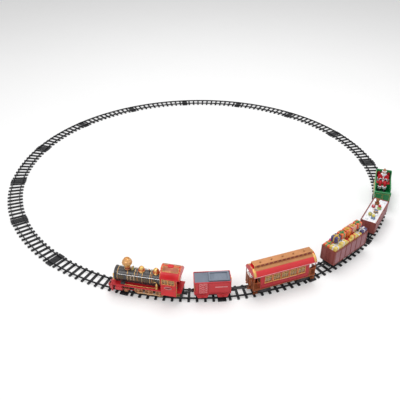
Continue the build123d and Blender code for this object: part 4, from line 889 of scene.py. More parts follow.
def cabTrim(values):
    front, half = values["cabFront"], values["boardWidth"] / 2
    frames = Shape()
    lines = Shape()
    panes = Shape()
    for side in (-1, 1):
        windowFrame(frames, side, half, front - 13.5, 84.5, 17.0, 17.0, cross=(0,), rails=(0.45,))
        windowFrame(frames, side, half, front - 35.5, 84.5, 19.0, 17.0, cross=(0,), rails=(0.0,))
        for x, width in ((front - 13.5, 17.0), (front - 35.5, 19.0)):
            panes.sideBlock(side, (x - width / 2, x + width / 2), (half - 1.9, half - 1.3), (76.0, 93.0))
        for z0, z1 in ((31.0, 49.0), (51.6, 71.0)):
            lineLoop(lines, side, half + 0.1, front - 46.5, front - 3.5, z0, z1, 0.45)
    addPiece("cab_frames", frames, "locomotive", gold, bevel=0.15)
    addPiece("cab_lines", lines, "locomotive", redLine, bevel=0)
    addPiece("cab_panes", panes, "locomotive", paneGlass, bevel=0)
    plate = Shape()
    rim = Shape()
    for side in (-1, 1):
        outline = [(values["plateX"] + 12.0 * cos(2 * pi * i / 40),
                    values["plateZ"] + 5.4 * sin(2 * pi * i / 40)) for i in range(40)]
        plate.slab(outline, 0.7, sidePlane(side, half))
        rim.tube([(x, side * (half + 0.7), z) for x, z in outline], 0.55, sides=6, closed=True)
        small = [(values["plateX"] + 9.5 * cos(2 * pi * i / 40), side * (half + 0.75),
                  values["plateZ"] + 3.4 * sin(2 * pi * i / 40)) for i in range(40)]
        rim.tube(small, 0.25, sides=6, closed=True)
    addPiece("cab_plates", plate, "locomotive", darkLine, bevel=0.2)
    addPiece("cab_plate_rims", rim, "locomotive", pinkTrimAndHighlight, bevel=0)
    inside = Shape()
    inside.block((front - 3.2, -15.0, 47.0), (front - 2.05, 15.0, 90.0))
    inside.block((front - 24.0, 17.0, 45.2), (front - 12.0, 28.4, 58.0))
    inside.block((front - 24.0, -28.4, 45.2), (front - 12.0, -17.0, 58.0))
    addPiece("cab_inside", inside, "locomotive", frontBlack, bevel=0.6)
    dials = Shape()
    for y, z, size in ((-8.0, 80.0, 3.6), (0.0, 84.0, 3.0), (8.0, 80.0, 3.6), (0.0, 60.0, 7.0)):
        place = Matrix.Translation((front - values["dialReach"], y, z)) @ Matrix.Rotation(radians(-90), 4, "Y")
        dials.lathe([(size, 0), (size, 1.0), (size - 0.7, 1.5), (size - 0.9, 1.0), (0, 1.0)], place, 28)
    dials.tube([(front - 4.0, -12.0, 72.0), (front - 9.0, -6.0, 71.0), (front - 10.0, 4.0, 70.0)], 0.8,
               sides=8)
    addPiece("cab_dials", dials, "locomotive", brass, bevel=0.1)
    rails = Shape()
    for side in (-1, 1):
        x = front - values["cabLength"]
        rails.tube([(x + 0.2, side * (half - 0.6), 50.0), (x - 2.4, side * (half - 0.6), 51.0),
                    (x - 2.4, side * (half - 0.6), 88.0),
                    (x + 0.2, side * (half - 0.6), 89.0)], 0.7, sides=8)
        for z in (30.0, 37.0):
            rails.block((x - 12.0, side * 25.0 - 3.5, z), (x - 1.0, side * 25.0 + 3.5, z + 1.0))
        rails.block((x - 1.4, side * 28.5 - 0.6, 28.0), (x - 0.2, side * 28.5 + 0.6, 46.0))
    addPiece("cab_steps", rails, "locomotive", gold, bevel=0.2)
    roof = Shape()
    rear = front - values["cabLength"] - 13.0
    for side in (-1, 1):
        for inset, radius in ((0.0, 0.6), (2.4, 0.35)):
            near, far = 20.0 - inset, 3.0 + inset
            x0, x1 = front - 3.0 - inset, rear + 6.0 + inset
            ys = [near + (far - near) * i / 10 for i in range(11)]
            points = [(x0, side * y, dropOn("cab_roof", "locomotive", x0, side * y) + 0.2) for y in ys]
            points += [(x1, side * y, dropOn("cab_roof", "locomotive", x1, side * y) + 0.2)
                       for y in reversed(ys)]
            roof.tube(points, radius, sides=6, closed=True)
    for x in (front + 1.2, rear + 1.4):
        roofLine(roof, "cab_roof", "locomotive", x, 32.6, 40, 0.1, 0.7)
    addPiece("roof_lines", roof, "locomotive", gold, bevel=0)
    panel = Shape()
    for side in (-1, 1):
        rows = [side * (3.4 + 16.2 * i / 12) for i in range(13)]
        drape(panel, "cab_roof", "locomotive", (front - 3.6, rear + 6.6), rows, 0.22, 0.3)
    addPiece("roof_panels", panel, "locomotive", roofCopper, bevel=0)
    vent = Shape()
    x = front - 28.0
    vent.block((x - 9.0, -7.0, 125.5), (x + 9.0, 7.0, 129.6))
    addPiece("roof_vent", vent, "locomotive", cabRed, bevel=1.0)


for node, material in (
    ("locomotive_chassis", frameBlack), ("battery_cover", frameBlack), ("batteries", cellSleeve),
    ("motor", silver),
    ("motor_pinion", gearWhite), ("chassis_screws", silver), ("running_board", locoRed), ("pilot", locoRed),
    ("boiler", boilerBlack), ("smokebox_front", frontBlack), ("headlamp_lens", lampGlass),
    ("chimney", chimneyPaint),
    ("bell", bellGold), ("boiler_domes", brass), ("cab", cabRed), ("cab_roof", cabRed),
    ("cylinders", locoRed),
    ("power_switch", frontBlack), ("side_rod_left", rodGold), ("side_rod_right", rodGold),
    ("leading_wheelset", wheelCopper),
    ("driving_wheelset_front", wheelCopper), ("driving_wheelset_middle", wheelCopper),
    ("driving_wheelset_rear", wheelCopper),
):
    paint(node, material)
boilerTrim(locoValues)
smokeboxTrim(locoValues)
chimneyTrim(locoValues)
topFittings(locoValues)
pumps(locoValues)
boardTrim(locoValues)
pilotTrim(locoValues)
cylinderTrim(locoValues)
cabTrim(locoValues)
print("stage: locomotive")


# The bogies stand in metres and radians from the coach's middle, the axle guards in millimetres.
gearValues = {"guardReach": 27.1, "axleHeight": 17.8, "bogieReach": 0.072, "bogieTurn": 0.08934}


def axleBoxes(body, axles, reach):
    # Journal boxes and leaf springs on the outer faces of the side frames.
    boxes = Shape()
    springs = Shape()
    for side in (-1, 1):
        for x in axles:
            boxes.block((x - 3.2, side * reach - 0.8, 14.6), (x + 3.2, side * reach + 0.8, 20.6))
            boxes.lathe([(2.2, 0), (2.2, 0.8), (1.4, 1.3)],
                        alongY(x, side * (reach + 0.6), gearValues["axleHeight"], side), 18)
            for leaf in range(3):
                half = 8.2 - 2.2 * leaf
                springs.block((x - half, side * reach - 0.9, 21.0 + leaf * 1.3),
                              (x + half, side * reach + 0.9, 22.0 + leaf * 1.3))
    addPiece(body + "_axle_boxes", boxes, body, frameBlack, bevel=0.4)
    addPiece(body + "_springs", springs, body, frameBlack, bevel=0.25)


for name in ("tender", "gift_wagon", "toy_wagon", "sleigh"):
    for ending in ("_chassis", "_drawbar", "_wheelset_front", "_wheelset_rear"):
        paint(name + ending, frameBlack)
for name in ("coach_drawbar", "coach_bogie_front", "coach_bogie_rear"):
    paint(name, frameBlack)
for number in (1, 2, 3, 4):
    paint(f"coach_wheelset_{number}", frameBlack)
for end, label in ((1, "front"), (-1, "rear")):
    turned = Matrix.Translation((end * gearValues["bogieReach"], 0,
                                 0)) @ Matrix.Rotation(-end * gearValues["bogieTurn"], 4, "Z")
    places[f"coach_bogie_{label}"] = places["coach"] @ turned
for body, axle in (("gift_wagon", 56.0), ("toy_wagon", 52.0), ("sleigh", 45.0), ("coach_bogie_front", 18.0),
                   ("coach_bogie_rear", 18.0)):
    axleBoxes(body, (axle, -axle), gearValues["guardReach"])
print("stage: running gear")

tenderValues = {"sideY": 27.0, "axleHeight": 19.6, "axleX": (33.0, -33.0), "rear": -60.0, "ladderRear": -61.6,
                "latticeX": (19.0, 42.0), "latticeZ": (37.0, 76.0)}


def tenderTrim(values):
    lattice = Shape()
    x0, x1 = values["latticeX"]
    z0, z1 = values["latticeZ"]
    y = values["sideY"]
    for side in (-1, 1):
        lattice.tube([(x0, side * y, z0), (x1, side * y, z0), (x1, side * y, z1), (x0, side * y, z1)], 0.8,
                     sides=6, closed=True)
        for i in range(4):
            low, high = z0 + (z1 - z0) * i / 4, z0 + (z1 - z0) * (i + 1) / 4
            for a, b in ((x0, x1), (x1, x0)):
                lattice.tube([(a, side * y, low), (b, side * y, high)], 0.55, sides=6)
        for i in range(5):
            lattice.ball(((x0 + x1) / 2, side * y, z0 + (z1 - z0) * (i + 0.5) / 5), 1.1, rings=6, segments=10)
    addPiece("tender_lattice", lattice, "tender", pinkTrimAndHighlight, bevel=0)
    lines = Shape()
    loops = Shape()
    for side in (-1, 1):
        lineLoop(loops, side, y + 0.05, -55.0, 14.0, 36.0, 77.0, 0.5)
        lineLoop(loops, side, y + 0.05, 45.5, 56.0, 36.0, 77.0, 0.4)
        lines.sideBlock(side, (-48.0, -8.0), (y - 0.4, y + 1.0), (59.0, 61.4))
        loops.sideBlock(side, (-59.4, 59.4), (y - 0.4, y + 0.8), (31.0, 32.2))
    addPiece("tender_lines", lines, "tender", pinkTrimAndHighlight, bevel=0.15)
    addPiece("tender_loops", loops, "tender", darkLine, bevel=0.15)
    rivets = Shape()
    for side in (-1, 1):
        rivetRow(rivets, [(-56.0 + 5.0 * i, side * y, 79.2) for i in range(23)], 0.55)
        rivetRow(rivets, [(-56.0 + 5.0 * i, side * y, 34.0) for i in range(23)], 0.5)
    addPiece("tender_rivets", rivets, "tender", locoRed, bevel=0)
    frames = Shape()
    for side in (-1, 1):
        for x in values["axleX"]:
            frames.lathe([(4.4, -0.4), (4.4, 0.9), (3.4, 1.5), (1.6, 1.7)],
                         alongY(x, side * (y - 0.2), values["axleHeight"], side), 24)
            frames.slab([(x - 17.0, 25.2), (x + 17.0, 25.2), (x + 15.2, 23.4), (x - 15.2, 23.4)], 0.7,
                        sidePlane(side, y))
            for leaf in range(3):
                half = 12.0 - 3.0 * leaf
                frames.slab([(x - half, 25.9 + leaf * 1.1), (x + half, 25.9 + leaf * 1.1),
                             (x + half, 26.6 + leaf * 1.1),
                             (x - half, 26.6 + leaf * 1.1)], 0.9, sidePlane(side, y))
    addPiece("tender_axle_boxes", frames, "tender", locoRed, bevel=0.25)
    hatch = Shape()
    hatch.block((-46.0, -14.0, 80.6), (-6.0, 14.0, 81.9))
    for x in (-40.0, -33.0, -26.0, -19.0, -12.0):
        hatch.block((x - 0.5, -13.0, 81.6), (x + 0.5, 13.0, 82.2))
    addPiece("tender_hatch", hatch, "tender", deckGrey, bevel=0.3)
    rails = Shape()
    rear, back = values["rear"], values["ladderRear"]
    for side in (-1, 1):
        rails.tube([(57.0, side * 26.9, 45.0), (58.4, side * 28.0, 47.0), (58.4, side * 28.0, 70.0),
                    (57.0, side * 26.9, 72.0)], 0.6, sides=8)
    for y0 in (-9.0, 9.0):
        rails.tube([(rear, y0, 33.0), (back, y0, 34.0), (back, y0, 76.0), (rear, y0, 77.5)], 0.6, sides=8)
    for z in (38.0, 46.0, 54.0, 62.0, 70.0):
        rails.tube([(back, -9.0, z), (back, 9.0, z)], 0.5, sides=8)
    rails.lathe([(3.4, 0), (3.4, 2.6), (2.7, 3.2), (2.4, 2.4), (0, 2.4)],
                Matrix.Translation((rear, 0, 71.5)) @ Matrix.Rotation(radians(-90), 4, "Y"), 24)
    addPiece("tender_ladder", rails, "tender", gold, bevel=0.1)


paint("tender_body", locoRed)
paint("tender_deck", deckGrey)
tenderTrim(tenderValues)
print("stage: tender")

coachValues = {"half": 114.5, "bodyHalf": 89.0, "sideY": 30.0, "windowZ": 69.0, "windowHeight": 24.0,
               "windows": ((61.0, 24.0), (30.5, 24.0), (0.0, 24.0), (-30.5, 24.0), (-61.0, 24.0)),
               "floorZ": 33.0, "railY": 30.2, "railTop": 63.4, "roofEnd": 113.6, "trussY": 24.0,
               "trussZ": 20.0}


def coachTrim(values):
    y = values["sideY"]
    frames = Shape()
    lines = Shape()
    z, height = values["windowZ"], values["windowHeight"]
    for side in (-1, 1):
        for index, (x, width) in enumerate(values["windows"]):
            wide = index in (1, 2, 3)
            windowFrame(frames, side, y, x, z, width, height, cross=(-0.34, 0.34) if wide else (0,),
                        rails=(0.42,))
            if not wide:
                arch = [(x - 11.0 + 22.0 * i / 16, side * (y + 0.3), z + 4.6 + 6.0 * sin(pi * i / 16))
                        for i in range(17)]
                frames.tube(arch, 0.5, sides=6)
            frames.sideBlock(side, (x - width / 2 - 2.4, x + width / 2 + 2.4), (y - 0.3, y + 1.7),
                             (z - height / 2 - 2.6, z - height / 2 - 1.3))
        lineLoop(lines, side, y + 0.1, -86.0, 86.0, 37.5, 49.0, 0.45)
        lines.sideBlock(side, (-88.6, 88.6), (y - 0.3, y + 0.7), (34.2, 35.4))
        for x in (-45.5, -15.2, 15.2, 45.5):
            lines.tube([(x, side * (y + 0.1), 38.5), (x, side * (y + 0.1), 48.0)], 0.35, sides=6)
    addPiece("coach_window_frames", frames, "coach", gold, bevel=0.15)
    addPiece("coach_side_lines", lines, "coach", darkLine, bevel=0.15)
    # Pink strips along the eave and under the middle windows: painted highlights on the red coach, not trim.
    pink = Shape()
    for side in (-1, 1):
        pink.sideBlock(side, (-114.4, 114.4), (32.5, 33.7), (88.4, 90.6))
        pink.sideBlock(side, (-45.0, 18.0), (y - 0.3, y + 1.1), (52.0, 53.2))
    addPiece("coach_painted_highlights", pink, "coach", pinkTrimAndHighlight, bevel=0.25)
    curtains = Shape()
    for side in (-1, 1):
        for x, width in values["windows"]:
            for way in (-1, 1):
                edge = x + way * width / 2
                for fold in range(3):
                    fx = edge - way * (1.0 + 1.5 * fold)
                    curtains.tube([(fx, side * 26.2, z + 13.5), (fx - way * 0.5, side * 26.0, z + 2.0),
                                   (fx + way * 0.8 * fold, side * 26.2, z - 13.0)],
                                  [0.95, 0.8, 0.95], sides=8)
    addPiece("coach_curtains", curtains, "coach", clerestoryPaint, bevel=0)
    seats = Shape()
    for row in range(6):
        x = 75.0 - 30.0 * row
        for side in (-1, 1):
            seats.sideBlock(side, (x - 6.0, x + 6.0), (7.0, 23.5), (values["floorZ"], 45.0))
            seats.sideBlock(side, (x - 2.0, x + 2.0), (7.0, 23.5), (44.0, 62.0))
    addPiece("coach_seats", seats, "coach", neckRed, bevel=1.2)
    ends = Shape()
    for end in (-1, 1):
        x = end * values["bodyHalf"]
        for low, high in (((-8.2, 33.0), (-7.0, 64.0)), ((7.0, 33.0), (8.2, 64.0)),
                          ((-8.2, 62.8), (8.2, 64.2))):
            ends.block((x - end * 0.4, low[0], low[1]), (x + end * 0.8, high[0], high[1]))
        for side in (-1, 1):
            pane = ((11.5, 54.0), (25.5, 54.0), (25.5, 80.0), (11.5, 80.0))
            corners = [(x + end * 0.3, side * yy, zz) for yy, zz in pane]
            ends.tube(corners, 0.6, sides=6, closed=True)
            ends.tube([(x + end * 0.3, side * 18.5, 54.0), (x + end * 0.3, side * 18.5, 80.0)], 0.4, sides=6)
    addPiece("coach_end_frames", ends, "coach", gold, bevel=0.1)
    # Near-black blocks fill the end windows: painted shade standing in for the dark inside of the coach.
    shadeEnd = Shape()
    for end in (-1, 1):
        x = end * (values["bodyHalf"] - 1.0)
        for side in (-1, 1):
            shadeEnd.sideBlock(side, (x, x + end * 1.15), (11.5, 25.5), (54.0, 80.0))
    addPiece("coach_end_painted_shade", shadeEnd, "coach", paintedShadeInside, bevel=0)
    balcony = Shape()
    railY, railTop = values["railY"], values["railTop"]
    for end in (-1, 1):
        x = end * (values["half"] - 1.5)
        for side in (-1, 1):
            for i in range(5):
                yy = side * (12.5 + 3.9 * i)
                balcony.tube([(x, yy, 34.0), (x, yy + side * 0.8, 44.0), (x, yy - side * 0.8, 52.0),
                              (x, yy, 61.0)],
                             [0.75, 1.15, 0.7, 0.75], sides=8)
            balcony.tube([(x, side * 10.6, railTop), (x, side * railY, railTop)], 1.15, sides=10)
            balcony.tube([(x, side * railY, railTop), (x - end * 24.0, side * railY, railTop)], 1.15,
                         sides=10)
            balcony.tube([(x, side * railY, 36.5), (x - end * 24.0, side * railY, 36.5)], 0.8, sides=8)
            for i in range(6):
                px = x - end * (3.5 + 3.8 * i)
                balcony.tube([(px, side * railY, 34.0), (px, side * railY, 63.0)], 0.7, sides=8)
            for step in range(2):
                tread = 18.0 + 6.5 * step
                balcony.sideBlock(side, (x, x - end * 15.0), (24.0 + 3.0 * step, 31.5 + step),
                                  (tread, tread + 1.2))
        balcony.tube([(x, -7.0, 34.0), (x, -7.0, 84.0)], 0.7, sides=8)
        balcony.tube([(x, 7.0, 34.0), (x, 7.0, 84.0)], 0.7, sides=8)
        balcony.lathe([(3.6, 0), (3.6, 1.0), (0.9, 1.4), (0.9, 9.0), (0.4, 9.6)],
                      Matrix.Translation((x, 0, 58.0)), 20)
    addPiece("coach_balcony", balcony, "coach", railBrown, bevel=0.15)
    roof = Shape()
    for x in (values["roofEnd"], 106.0, -106.0, -values["roofEnd"]):
        roofLine(roof, "coach_roof", "coach", x, 32.4, 60, 0.1, 0.8)
    bands = Shape()
    for ends in ((105.9, 113.7), (-113.7, -105.9)):
        for side in (-1, 1):
            drape(bands, "coach_roof", "coach", ends, [side * (32.6 - i) for i in range(21)], 0.45, 0.3)
    addPiece("coach_roof_bands", bands, "coach", gold, bevel=0)
    addPiece("coach_roof_ribs", roof, "coach", gold, bevel=0)
    deck = Shape()
    for side in (-1, 1):
        drape(deck, "coach_roof", "coach", (105.0, -105.0), [side * (12.2 + 2.4 * j) for j in range(5)], 0.5,
              0.4)
        deck.sideBlock(side, (-105.8, 105.8), (11.9, 12.5), (113.0, 122.3))
    deck.block((-106.4, -12.6, 121.7), (106.4, 12.6, 122.4))
    addPiece("coach_clerestory_skin", deck, "coach", clerestoryPaint, bevel=0.2)
    lights = Shape()
    for side in (-1, 1):
        for i in range(13):
            x = 93.0 - 15.5 * i
            lights.sideBlock(side, (x - 5.0, x + 5.0), (12.3, 13.0), (115.6, 120.4))
    addPiece("coach_clerestory_lights", lights, "coach", neckRed, bevel=0.2)
    vents = Shape()
    for i in range(5):
        x = 80.0 - 40.0 * i
        vents.lathe([(2.6, 122.0), (2.6, 123.0), (1.4, 123.3), (1.4, 124.4), (3.0, 124.8), (2.2, 126.0),
                     (0.6, 126.4)],
                    Matrix.Translation((x, 0, 0)), 20)
    addPiece("coach_vents", vents, "coach", clerestoryPaint, bevel=0.1)
    truss = Shape()
    low, out = values["trussZ"], values["trussY"]
    for side in (-1, 1):
        truss.tube([(50.0, side * out, 29.5), (24.0, side * out, low), (-24.0, side * out, low),
                    (-50.0, side * out, 29.5)], 0.9, sides=8)
        for x in (24.0, -24.0):
            truss.block((x - 1.4, side * out - 1.4, low), (x + 1.4, side * out + 1.4, 30.2))
    truss.block((-22.0, -12.0, 21.0), (22.0, 12.0, 30.1))
    truss.lathe([(5.0, -16.0), (5.0, 16.0)], alongX(0.0, -17.5, 24.6), 24)
    addPiece("coach_underframe", truss, "coach", frameBlack, bevel=0.5)


paint("coach_body", coachRed)
paint("coach_glazing", paneGlass)
paint("coach_roof", roofRed)
paint("coach_floor", railBrown)
coachTrim(coachValues)
print("stage: coach")

giftValues = {"half": 94.0, "sideY": 28.5, "top": 86.0, "floor": 29.5, "panels": 6, "upperLayer": 60.0,
              "ribbon": 5.0, "upperRibbon": 4.4}


def wagonSides(body, values):
    panels = Shape()
    ribs = Shape()
    half, y, top, floor = values["half"], values["sideY"], values["top"], values["floor"]
    pitch = (2 * half - 8.0) / values["panels"]
    for side in (-1, 1):
        for i in range(values["panels"]):
            x0 = -half + 4.0 + pitch * i
            panels.sideBlock(side, (x0 + 2.4, x0 + pitch - 2.4), (y - 0.2, y + 0.45),
                             (floor + 4.0, top - 5.5))
            for plank in range(1, 5):
                z = floor + 4.0 + (top - floor - 9.5) * plank / 5
                panels.sideBlock(side, (x0 + 2.4, x0 + pitch - 2.4), (y + 0.35, y + 0.65),
                                 (z - 0.35, z + 0.35))
        for i in range(values["panels"] + 1):
            x = -half + 4.0 + pitch * i
            ribs.sideBlock(side, (x - 1.3, x + 1.3), (y - 0.3, y + 1.2), (floor + 0.4, top - 0.3))
            rivetRow(ribs, [(x, side * (y + 1.2), floor + 4.0 + 8.0 * j)
                            for j in range(int((top - floor - 6) / 8) + 1)], 0.5)
        ribs.sideBlock(side, (-half - 0.6, half + 0.6), (y - 2.2, y + 1.3), (top - 1.0, top + 1.4))
        ribs.sideBlock(side, (-half, half), (y - 0.3, y + 1.0), (floor, floor + 2.2))
    for end in (-1, 1):
        for yy in (-24.0, -8.0, 8.0, 24.0):
            ribs.block((end * (half - 0.2), yy - 1.3, floor + 0.4), (end * (half + 1.0), yy + 1.3, top - 0.3))
        for z in (0.18, 0.36, 0.54, 0.72, 0.9):
            height = floor + (top - floor) * z
            ribs.tube([(end * (half + 1.6), -8.0, height), (end * (half + 1.6), 8.0, height)], 0.7, sides=8)
        ribs.block((end * (half - 2.2), -y - 0.8, top - 1.0), (end * (half + 1.0), y + 0.8, top + 1.4))
    addPiece(body + "_panels", panels, body, lilac, bevel=0.2)
    addPiece(body + "_ribs", ribs, body, goodsRed, bevel=0.3)


def loosePieces(node, body):
    # The node's separate solids, as boxes in its vehicle's own frame, in millimetres.
    mesh = frame["nodes"][node].data
    owner = list(range(len(mesh.vertices)))
    first = {}

    def root(i):
        while owner[i] != i:
            owner[i] = owner[owner[i]]
            i = owner[i]
        return i

    for edge in mesh.edges:
        a, b = root(edge.vertices[0]), root(edge.vertices[1])
        if a != b:
            owner[a] = b
    for vertex in mesh.vertices:
        spot = tuple(round(part * 100000) for part in vertex.co)
        a, b = root(vertex.index), root(first.setdefault(spot, vertex.index))
        if a != b:
            owner[a] = b
    groups = {}
    back = places[body].inverted()
    for vertex in mesh.vertices:
        groups.setdefault(root(vertex.index), []).append((back @ vertex.co) * 1000)
    boxes = []
    for points in groups.values():
        low = tuple(min(p[i] for p in points) for i in range(3))
        high = tuple(max(p[i] for p in points) for i in range(3))
        boxes.append((low, high))
    return sorted(boxes)


def wrappedBox(paperShape, ribbonShape, low, high, ribbon, bow=True):
    # A wrapped box with a crossed ribbon and a looped bow.
    x0, y0, z0 = low
    x1, y1, z1 = high
    paperShape.block(low, high)
    mx, my = (x0 + x1) / 2, (y0 + y1) / 2
    w = ribbon / 2
    ribbonShape.block((mx - w, y0 - 0.3, z0), (mx + w, y1 + 0.3, z1 + 0.35))
    ribbonShape.block((x0 - 0.3, my - w, z0), (x1 + 0.3, my + w, z1 + 0.35))
    if bow:
        for turn in (0.4, 1.9, 3.5, 5.1):
            loop = []
            for i in range(13):
                t = i / 12 * 2 * pi
                reach = 4.2 * (1 - cos(t)) / 2 * 1.6
                loop.append((mx + reach * cos(turn) - 1.6 * sin(t) * sin(turn),
                             my + reach * sin(turn) + 1.6 * sin(t) * cos(turn),
                             z1 + 0.8 + 1.9 * sin(t / 2) + 0.4 * sin(t)))
            ribbonShape.tube(loop, 0.75, sides=8, flat=1.6)
        ribbonShape.ball((mx, my, z1 + 1.2), (1.5, 1.5, 1.2), rings=8, segments=12)


def presents():
    papers = [
        wrapPaper("paperYellow", (0.8, 0.55, 0.04), (0.85, 0.72, 0.3), "stripes", 140.0),
        wrapPaper("paperNavy", (0.03, 0.02, 0.13), (0.1, 0.06, 0.3), "dots", 160.0),
        wrapPaper("paperOrange", (0.75, 0.12, 0.02), (0.85, 0.3, 0.05), "plain", 90.0),
        wrapPaper("paperGreen", (0.03, 0.28, 0.08), (0.4, 0.55, 0.2), "stripes", 120.0),
        wrapPaper("paperMagenta", (0.55, 0.03, 0.22), (0.8, 0.35, 0.5), "dots", 150.0),
        wrapPaper("paperRed", (0.6, 0.02, 0.02), (0.8, 0.6, 0.5), "stripes", 100.0),
    ]
    ribbons = [
        plastic("ribbonWhite", (0.85, 0.83, 0.82), rough=0.3, wear=0.05),
        plastic("ribbonRed", (0.6, 0.02, 0.03), rough=0.3, wear=0.05),
        plastic("ribbonGold", (0.7, 0.48, 0.1), rough=0.28, metal=0.5, wear=0.05),
        plastic("ribbonGreen", (0.05, 0.35, 0.12), rough=0.3, wear=0.05),
    ]
    paperShapes = [Shape() for _ in papers]
    ribbonShapes = [Shape() for _ in ribbons]
    boxes = loosePieces("gift_boxes", "gift_wagon")
    order = (0, 1, 2, 3, 0, 5, 1, 0, 2, 5, 0, 2, 4, 0, 1, 2, 0, 0, 3)
    ribbonOrder = (1, 0, 3, 2, 0, 2, 0, 1, 2, 0, 1, 3, 1, 0, 2, 3, 0, 1)
    for index, (low, high) in enumerate(boxes):
        upper = low[2] > giftValues["upperLayer"]
        wrappedBox(paperShapes[order[index % len(order)]],
                   ribbonShapes[ribbonOrder[index % len(ribbonOrder)]],
                   low, high, giftValues["upperRibbon"] if upper else giftValues["ribbon"],
                   bow=upper or index % 2 == 0)
    first = None
    for index, shape in enumerate(paperShapes):
        if shape.points:
            piece = addPiece(f"presents_paper_{index}", shape, "gift_wagon", papers[index],
                             bevel=0.9)
            first = first or piece
    for index, shape in enumerate(ribbonShapes):
        if shape.points:
            addPiece(f"presents_ribbon_{index}", shape, "gift_wagon", ribbons[index],
                     bevel=0.12)
    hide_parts("gift_boxes")


paint("gift_wagon_body", goodsRed)
wagonSides("gift_wagon", giftValues)
presents()
print("stage: gift wagon")

toyValues = {"half": 87.0, "sideY": 28.5, "top": 76.0, "floor": 29.5, "panels": 6, "snowTop": 74.5,
             "snowDepth": 5.0}


def snowBed(values):
    # A drifted bed of snow: a fine sheet, lifted by layered noise.
    bed = Shape()
    half, reach = values["half"] - 2.4, values["sideY"] - 2.4
    countX, countY = 84, 26
    points = []
    for i in range(countX + 1):
        for j in range(countY + 1):
            x, y = -half + 2 * half * i / countX, -reach + 2 * reach * j / countY
            drift = 1.6 * noise.noise(Vector((x / 16, y / 16, 3.0)))
            lift = drift + 0.7 * noise.noise(Vector((x / 5, y / 5, 8.0)))
            points.append((x, y, values["snowTop"] + 0.6 + lift))
    base = len(points)
    points += [(x, y, values["snowTop"] - values["snowDepth"]) for x, y, _ in points]
    faces = []
    row = countY + 1
    for i in range(countX):
        for j in range(countY):
            a = i * row + j
            faces += [(a, a + row, a + row + 1, a + 1),
                      (base + a, base + a + 1, base + a + row + 1, base + a + row)]
    for i in range(countX):
        for a, b in ((i * row, (i + 1) * row), (i * row + countY, (i + 1) * row + countY)):
            faces.append((a, b, base + b, base + a))
    for j in range(countY):
        for a in (j, countX * row + j):
            faces.append((a, a + 1, base + a + 1, base + a))
    bed.add(points, faces)
    for x, y, size, seed in ((-70, 14, 5.0, 1), (-2, -14, 5.5, 2), (28, 14, 6.0, 3), (70, -12, 5.0, 4),
                             (-36, -20, 4.5, 5), (52, -20, 4.0, 6)):
        bed.ball((x, y, values["snowTop"]), (size * 1.5, size * 1.2, size), rings=12, segments=20,
                 ruffle=0.25, seed=seed)
    return addPiece("toy_wagon_snow", bed, "toy_wagon", snow, bevel=0)


def bear(x, y, z):
    fur = Shape()
    fur.ball((x, y, z + 6.5), (7.6, 7.8, 7.8), ruffle=0.06, seed=1)
    fur.ball((x + 0.8, y, z + 18.0), (6.0, 6.2, 5.8), ruffle=0.05, seed=2)
    for side in (-1, 1):
        fur.ball((x + 0.2, y + side * 5.0, z + 23.0), 2.4)
        fur.ball((x + 5.6, y + side * 5.6, z + 3.6), (4.6, 2.8, 2.8))
        fur.ball((x + 4.2, y + side * 7.2, z + 10.5), (3.6, 2.2, 2.2))
    fur.ball((x + 5.8, y, z + 16.6), (2.6, 3.0, 2.2))
    face = Shape()
    for side in (-1, 1):
        face.ball((x + 6.2, y + side * 2.3, z + 19.4), 0.7, rings=8, segments=10)
    face.ball((x + 8.3, y, z + 17.4), (0.8, 1.2, 0.8), rings=8, segments=10)
    bow = Shape()
    for side in (-1, 1):
        bow.ball((x + 6.2, y + side * 2.4, z + 12.6), (1.0, 2.4, 1.5), rings=8, segments=12)
    bow.ball((x + 6.8, y, z + 12.6), 1.1, rings=8, segments=10)
    return fur, face, bow


